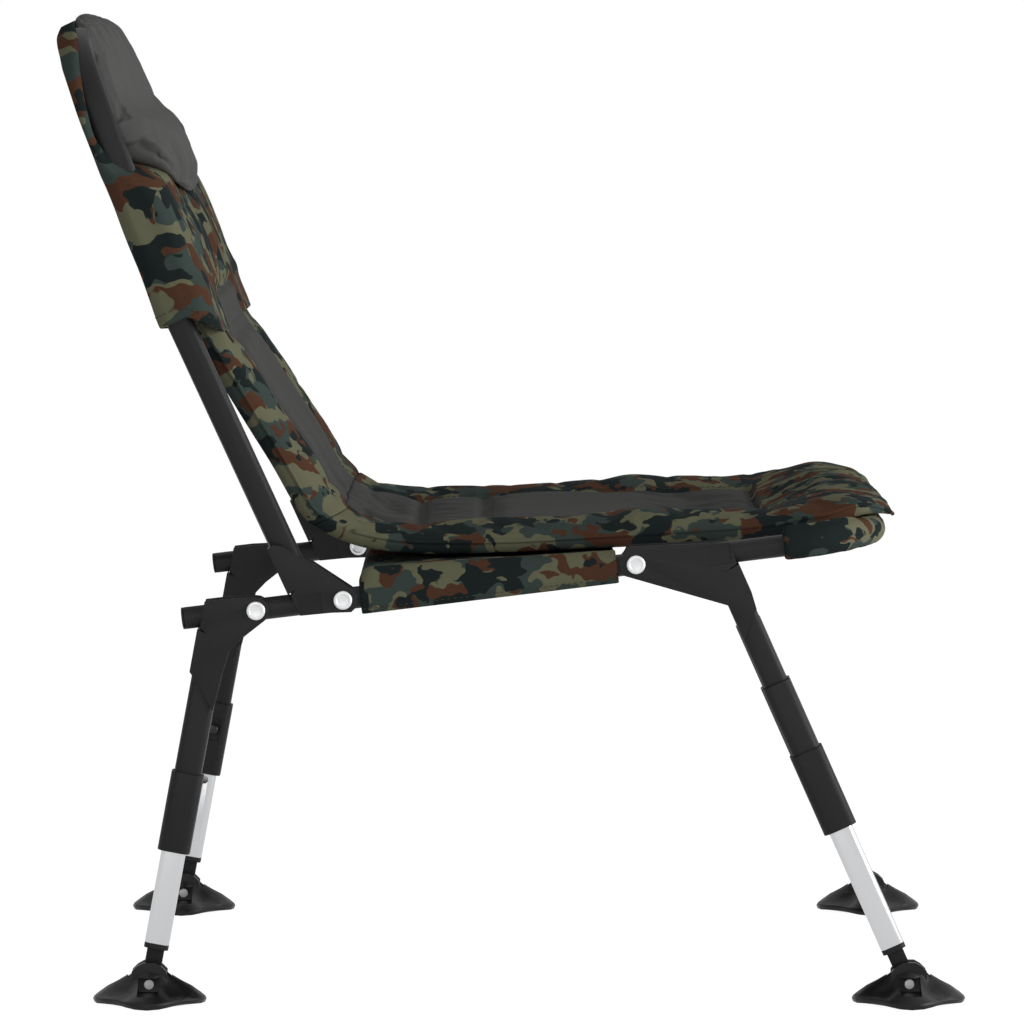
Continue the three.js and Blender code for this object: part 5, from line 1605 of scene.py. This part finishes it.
@dataclass
class FrontPocket:
    """The padded sleeve that holds the seat cover to the front bend of the frame."""

    goods: SoftGoods
    lead: float = 5.0
    radius: float = 12.6
    inner: float = 9.9
    seam_deg: float = 250.0
    sides: int = 40

    def centre_line(self) -> list[tuple[Vector, Vector]]:
        """Points along the tube's middle, each with the way ahead."""
        space = self.goods.space
        end, bend, middle = space.rail_length, space.front_bend, space.half_track - space.front_bend
        line: list[tuple[Vector, Vector]] = []
        for x in (end - self.lead, end - self.lead + 0.6, end - 2):
            line.append((Vector((x, space.half_track, 0.0)), Vector((1.0, 0.0, 0.0))))
        for share in spread(29):
            a = share * math.pi / 2
            place = Vector((end + bend * math.sin(a), middle + bend * math.cos(a), 0.0))
            line.append((place, Vector((math.cos(a), -math.sin(a), 0.0))))
        for y in spread(79, middle, 0.0)[1:]:
            line.append((Vector((end + bend, y, 0.0)), Vector((0.0, -1.0, 0.0))))
        mirrored = [(Vector((p.x, -p.y, 0.0)), Vector((-d.x, d.y, 0.0))) for p, d in reversed(line[:-1])]
        return line + mirrored

    def build(self) -> list[Piece]:
        """Makes the sleeve and its stitches.

        Returns:
            The sleeve first, then its stitches.
        """
        space = self.goods.space
        line = self.centre_line()

        def around(place: Vector, ahead: Vector, radius: float, run: float, slack: float) -> Ring:
            """One ring of the sleeve, fuller on top where the pad doesn't lie on it."""
            out = Vector((-ahead.y, ahead.x, 0.0))
            full = 4.0 * smooth_step(238, 254, abs(place.y)) * slack
            ring: Ring = []
            for k in range(self.sides):
                a = 2 * math.pi * k / self.sides
                fold = slack * gathers(a * self.radius, run, 8.5, 24.0, 51.0)
                seam = 0.8 * slack * math.exp(-(((math.degrees(a) - self.seam_deg) / 7) ** 2))
                top = full * max(math.sin(a), 0.0) ** 2 * (1 if math.cos(a) < 0.2 else 0.6)
                size = radius + 0.8 * fold - seam + top
                up = Vector((0.0, 0.0, math.sin(a) * size))
                ring.append(space.seat @ (place + out * math.cos(a) * size + up))
            return ring

        outer: list[Ring] = []
        run = 0.0
        hems = {0: (self.inner + 0.7, 0.0), 1: (self.radius - 0.5, 0.3)}
        for number, (place, ahead) in enumerate(line):
            run += (place - line[max(number - 1, 0)][0]).length
            size, slack = hems.get(min(number, len(line) - 1 - number), (self.radius, 1.0))
            outer.append(around(place, ahead, size, run, slack))
        inner = [around(place, ahead, self.inner, 0.0, 0.0) for place, ahead in reversed(line)]
        pocket = mesh_from_rings("front_pocket_padded", [*outer, *inner], looped=True)
        self.goods.palette.dress(pocket, "camouflage_cloth")
        self.goods.refine(pocket)
        self.goods.stand_in(pocket, "seat", "front_pocket", fill=0.5)
        seam = [ring[round(self.sides * self.seam_deg / 360)] for ring in outer[3:-3]]
        down = space.turned(space.seat, (0.0, 0.0, -1.0))
        return [pocket, self.goods.stitches("pocket_stitches", seam, "seat", lambda p: down, lift_mm=0.5)]


# Frame


class Workshop:
    """Finishes metal and plastic pieces as refined copies of the solids."""

    def __init__(self, palette: Palette, nodes: dict[str, Piece]) -> None:
        """Takes the materials and the solids."""
        self.palette = palette
        self.nodes = nodes

    def stand_in(self, piece: Piece, node: str, body: str, slot: str,
                 finish: str = "") -> Piece:
        """Dresses a new piece and lets it stand for a solid."""
        self.palette.dress(piece, finish or slot)
        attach(piece, body)
        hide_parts(node)
        return piece

    def refined(self, node: str, body: str, slot: str, bevel_mm: float, segments: int = 3,
                angle: float = 32.0, finish: str = "") -> Piece:
        """A copy of a solid with its flat faces joined and its edges rounded.

        Args:
            node: the solid's name.
            body: the body that the copy rides on.
            slot: the record's slot.
            bevel_mm: the rounding of its edges.
            segments: faces across a rounded edge.
            angle: the sharpest angle that still counts as smooth.
            finish: the material, where it isn't the slot's own.

        Returns:
            The new piece.
        """
        piece = bpy.data.objects.new(f"{node}_finished", self.nodes[node].data.copy())
        bpy.context.collection.objects.link(piece)
        with editing(piece):
            bpy.ops.mesh.remove_doubles(threshold=0.00001)
            bpy.ops.mesh.dissolve_limited(angle_limit=math.radians(1.5))
        add_modifier(piece, "BEVEL", width=bevel_mm * MM, segments=segments, limit_method="ANGLE",
                     angle_limit=math.radians(angle), use_clamp_overlap=True)
        apply_modifiers(piece)
        smooth_by_angle(piece, angle)
        return self.stand_in(piece, node, body, slot, finish)


@dataclass
class Rivet:
    """A through rivet with a pressed head at each end."""

    workshop: Workshop
    head: float = 16.0
    shank: float = 8.0
    head_height: float = 2.6
    dish: float = 0.7
    corners: int = 48

    def build(self, node: str) -> Piece:
        """Makes one rivet at its solid's place.

        Args:
            node: the solid that it stands for.

        Returns:
            The rivet.
        """
        low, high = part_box(node)
        middle = (low + high) / 2
        length = high.y - low.y
        deselect_all()
        bpy.ops.mesh.primitive_cylinder_add(
            vertices=self.corners, radius=self.shank / 2 * MM, depth=length - 2 * self.head_height * MM,
            location=middle, rotation=(math.pi / 2, 0.0, 0.0))
        rivet = bpy.context.object
        rivet.name = f"{node}_finished"
        settle(rivet)
        for sign in (1, -1):
            self.shape_head(rivet, middle, sign, length)
        with editing(rivet):
            bpy.ops.mesh.normals_make_consistent(inside=False)
        add_modifier(rivet, "BEVEL", width=0.5 * MM, segments=3, limit_method="ANGLE",
                     angle_limit=math.radians(40))
        apply_modifiers(rivet)
        smooth_by_angle(rivet, 40.0)
        return self.workshop.stand_in(rivet, node, "seat", "bright_rivet")

    def shape_head(self, rivet: Piece, middle: Vector, sign: int, length: float) -> None:
        """Widens one end into a head with a shallow dish in its face."""
        make_active(rivet)
        bpy.ops.object.mode_set(mode="EDIT")
        bpy.ops.mesh.select_all(action="DESELECT")
        bpy.ops.object.mode_set(mode="OBJECT")
        near_end = length / 2 - 1.02 * self.head_height * MM
        for polygon in rivet.data.polygons:
            out = (polygon.center.y - middle.y) * sign
            polygon.select = out > near_end and len(polygon.vertices) > 4
        bpy.ops.object.mode_set(mode="EDIT")
        bpy.ops.mesh.select_mode(type="FACE")
        wide = self.head / self.shank
        bpy.ops.mesh.extrude_region_move()
        bpy.ops.transform.resize(value=(wide, 1.0, wide))
        for share in (0.62, 0.38):
            rise = (0.0, sign * share * self.head_height * MM, 0.0)
            bpy.ops.mesh.extrude_region_move(TRANSFORM_OT_translate={"value": rise})
        bpy.ops.transform.resize(value=(0.8, 1.0, 0.8))
        bpy.ops.mesh.inset(thickness=0.9 * MM)
        bpy.ops.mesh.inset(thickness=0.5 * MM, depth=-self.dish * MM)
        bpy.ops.object.mode_set(mode="OBJECT")


@dataclass
class SeatFrame:
    """The bent seat tube with its end caps and its six rivets."""

    workshop: Workshop
    space: ChairSpace
    rail: float = 19.0
    wall: float = 1.5
    corners: int = 40
    bend_steps: int = 20

    def build(self) -> list[Piece]:
        """Makes the tube, the caps and the rivets."""
        pieces = [self.tube()]
        for side in Side:
            pieces.append(self.workshop.refined(f"rail_cap_{side.word}", "seat", "black_plastic", 0.6))
            for which in ("rear_leg", "backrest", "front_leg"):
                pieces.append(Rivet(self.workshop).build(f"{which}_rivet_{side.word}"))
        return pieces

    def tube(self) -> Piece:
        """Draws a circle along the rails and round both bends, and gives it a wall."""
        space = self.space
        end, inner = space.rail_length, space.half_track - space.front_bend
        quarter = {"steps": self.bend_steps, "angle": math.pi / 2, "axis": (0.0, 0.0, 1.0)}
        deselect_all()
        bpy.ops.mesh.primitive_circle_add(
            vertices=self.corners, radius=self.rail / 2, location=(0.0, space.half_track, 0.0),
            rotation=(0.0, math.pi / 2, 0.0))
        tube = bpy.context.object
        tube.name = "seat_frame_tube_finished"
        settle(tube)
        with editing(tube):
            bpy.ops.mesh.extrude_region_move(TRANSFORM_OT_translate={"value": (end, 0.0, 0.0)})
            bpy.ops.mesh.spin(center=(end, inner, 0.0), **quarter)
            bpy.ops.mesh.extrude_region_move(TRANSFORM_OT_translate={"value": (0.0, -2 * inner, 0.0)})
            bpy.ops.mesh.spin(center=(end, -inner, 0.0), **quarter)
            bpy.ops.mesh.extrude_region_move(TRANSFORM_OT_translate={"value": (-end, 0.0, 0.0)})
            bpy.ops.mesh.select_all(action="SELECT")
            bpy.ops.mesh.remove_doubles(threshold=0.01)
            bpy.ops.mesh.normals_make_consistent(inside=False)
        add_modifier(tube, "SOLIDIFY", thickness=self.wall, offset=-1.0)
        apply_modifiers(tube)
        tube.data.transform(self.space.seat)
        smooth_by_angle(tube, 40.0)
        return self.workshop.stand_in(tube, "seat_frame_tube", "seat", "black_steel")


@dataclass
class BackrestFrame:
    """The bent backrest tube and the two pressed brackets that hinge it."""

    workshop: Workshop
    edge: float = 0.55

    def build(self) -> list[Piece]:
        """Makes the tube and the brackets."""
        pieces = [self.workshop.refined("backrest_frame_tube", "backrest", "black_steel", 0.3, 1, 50.0)]
        for side in Side:
            name = f"backrest_bracket_{side.word}"
            pieces.append(self.workshop.refined(name, "backrest", "black_steel", self.edge))
        return pieces


@dataclass
class Leg:
    """One telescopic leg with its bracket, lock, plug and mud foot."""

    workshop: Workshop
    end: LegEnd
    side: Side
    bracket_edge: float = 0.55
    tube_edge: float = 0.3
    sleeve_edge: float = 0.9
    foot_edge: float = 0.8

    def name(self, piece: str) -> str:
        """A node's name on this leg."""
        return f"{self.end.value}_{piece}_{self.side.word}"

    def build(self) -> list[Piece]:
        """Makes every piece of the leg.

        Returns:
            The pieces, from the bracket down to the foot.
        """
        refined = self.workshop.refined
        leg, slider, button = self.name("leg"), self.name("leg_slider"), self.name("leg_button")
        pieces = [
            refined(self.name("leg_bracket"), leg, "black_steel", self.bracket_edge),
            refined(self.name("upper_tube"), leg, "black_steel", self.tube_edge, 2, 50.0),
            refined(self.name("lock_sleeve"), leg, "black_plastic", self.sleeve_edge, 3, 40.0),
            refined(self.name("lock_button"), button, "bright_rivet", 0.5, finish="blackened_pin"),
            refined(self.name("inner_tube"), slider, "silver_tube", 0.25, 2, 50.0),
            refined(self.name("leg_plug"), slider, "black_plastic", 0.7, 3, 40.0),
            # The foot pin's dome is painted nearly white: bright metal with a painted highlight.
            refined(self.name("foot_pin"), slider, "bright_rivet", 1.1, 4, finish="pin_dome"),
            self.foot(),
        ]
        if self.end is LegEnd.FRONT:
            pieces.append(refined(self.name("outer_tube"), leg, "black_steel", self.tube_edge, 2, 50.0))
        return pieces

    def foot(self) -> Piece:
        """The mud foot, with its rim and its other edges rounded."""
        return self.workshop.refined(
            self.name("mud_foot"), self.name("foot"), "black_plastic", self.foot_edge, 3, 30.0, "foot_rubber")


# Studio


@dataclass
class Studio:
    """The floor, the soft lights and the camera at the photograph's angle."""

    space: ChairSpace
    focal_px: float = 5725.0
    frame_px: float = 1024.0
    pitch_deg: float = 4.484
    yaw_deg: float = 0.16
    height: float = 0.8065
    distance: float = 5.1595
    hinge_x: float = -0.131

    def camera(self) -> Piece:
        """Adds the camera and makes it the scene's own."""
        data = bpy.data.cameras.new("camera")
        data.sensor_width = 36.0
        data.lens = self.focal_px / self.frame_px * data.sensor_width
        data.clip_end = 50.0
        camera = bpy.data.objects.new("camera", data)
        camera.location = (self.space.pivot.x - self.hinge_x, -self.distance, self.height)
        camera.rotation_euler = Euler((math.radians(90 - self.pitch_deg), 0.0, -math.radians(self.yaw_deg)))
        bpy.context.collection.objects.link(camera)
        bpy.context.scene.camera = camera
        return camera

    def lamp(self, name: str, place: Point, power: float, size: float) -> None:
        """Adds one soft square lamp that points at the seat."""
        data = bpy.data.lights.new(name, "AREA")
        data.energy, data.size = power, size
        lamp = bpy.data.objects.new(name, data)
        lamp.location = place
        towards = Vector((0.0, 0.0, 0.4)) - Vector(place)
        lamp.rotation_euler = towards.to_track_quat("-Z", "Y").to_euler()
        bpy.context.collection.objects.link(lamp)

    def floor(self) -> None:
        """Adds the pale floor."""
        bpy.ops.mesh.primitive_plane_add(size=60.0, location=(0.0, 0.0, -0.0005))
        plane = bpy.context.object
        plane.name = "studio_floor"
        material = bpy.data.materials.new("pale_floor")
        material.use_nodes = True
        sheet = NodeSheet(material.node_tree)
        shader = material.node_tree.nodes["Principled BSDF"]
        sheet.feed(shader, {"Base Color": (0.9, 0.9, 0.9, 1.0), "Roughness": 0.9, "Specular IOR Level": 0.0})
        glow = sheet.add("Emission", {"Strength": 1.2})
        share = sheet.times(sheet.seen(), 0.8)
        both = sheet.add("MixShader", {0: share, 1: shader.outputs[0], 2: glow.outputs[0]})
        sheet.feed(material.node_tree.nodes["Material Output"], {"Surface": both.outputs[0]})
        plane.data.materials.append(material)

    def world(self) -> None:
        """Lights the scene evenly from all round, with a white background."""
        world = bpy.data.worlds.new("studio_world")
        world.use_nodes = True
        bpy.context.scene.world = world
        sheet = NodeSheet(world.node_tree)
        strength = sheet.maths("ADD", sheet.times(sheet.seen(), 0.73), 0.27)
        sheet.feed(world.node_tree.nodes["Background"], {"Color": (1.0, 1.0, 1.0, 1.0), "Strength": strength})

    def build(self) -> None:
        """Adds everything round the chair."""
        bpy.context.scene.view_settings.view_transform = "Standard"
        self.camera()
        self.floor()
        self.world()
        self.lamp("side_light", (-0.8, -3.6, 1.5), 26.0, 2.4)
        self.lamp("front_light", (3.3, -1.0, 1.12), 104.0, 2.2)
        self.lamp("top_light", (-0.8, 0.8, 3.4), 7.0, 2.6)


def main() -> None:
    """Builds the chair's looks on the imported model."""
    logging.basicConfig(level=logging.INFO, format="%(name)s: %(message)s")
    space = ChairSpace.from_joint(frame["joints"])
    Studio(space).build()
    palette = Palette()
    goods = SoftGoods(space, palette)
    workshop = Workshop(palette, frame["nodes"])
    hood = HeadHood(goods)
    cushion = SeatCushion(goods)
    makers: list[tuple[str, Callable[[], Iterable[Piece]]]] = [
        ("seat frame", SeatFrame(workshop, space).build),
        ("backrest frame", BackrestFrame(workshop).build),
    ]
    for end in LegEnd:
        for side in Side:
            makers.append((f"{end.value} leg {side.word}", Leg(workshop, end, side).build))
    makers += [
        ("seat cushion", cushion.build),
        ("back cushion", BackCushion(goods, hood).build),
        ("head hood", hood.build),
        ("head pillow", HeadPillow(goods, hood).build),
        ("seat sling", SeatSling(goods, cushion).build),
        ("front pocket", FrontPocket(goods).build),
    ]
    for label, build in makers:
        pieces = list(build())
        LOG.info("%s: %d pieces, %d faces", label, len(pieces), sum(len(p.data.polygons) for p in pieces))


if __name__ == "__main__":
    main()
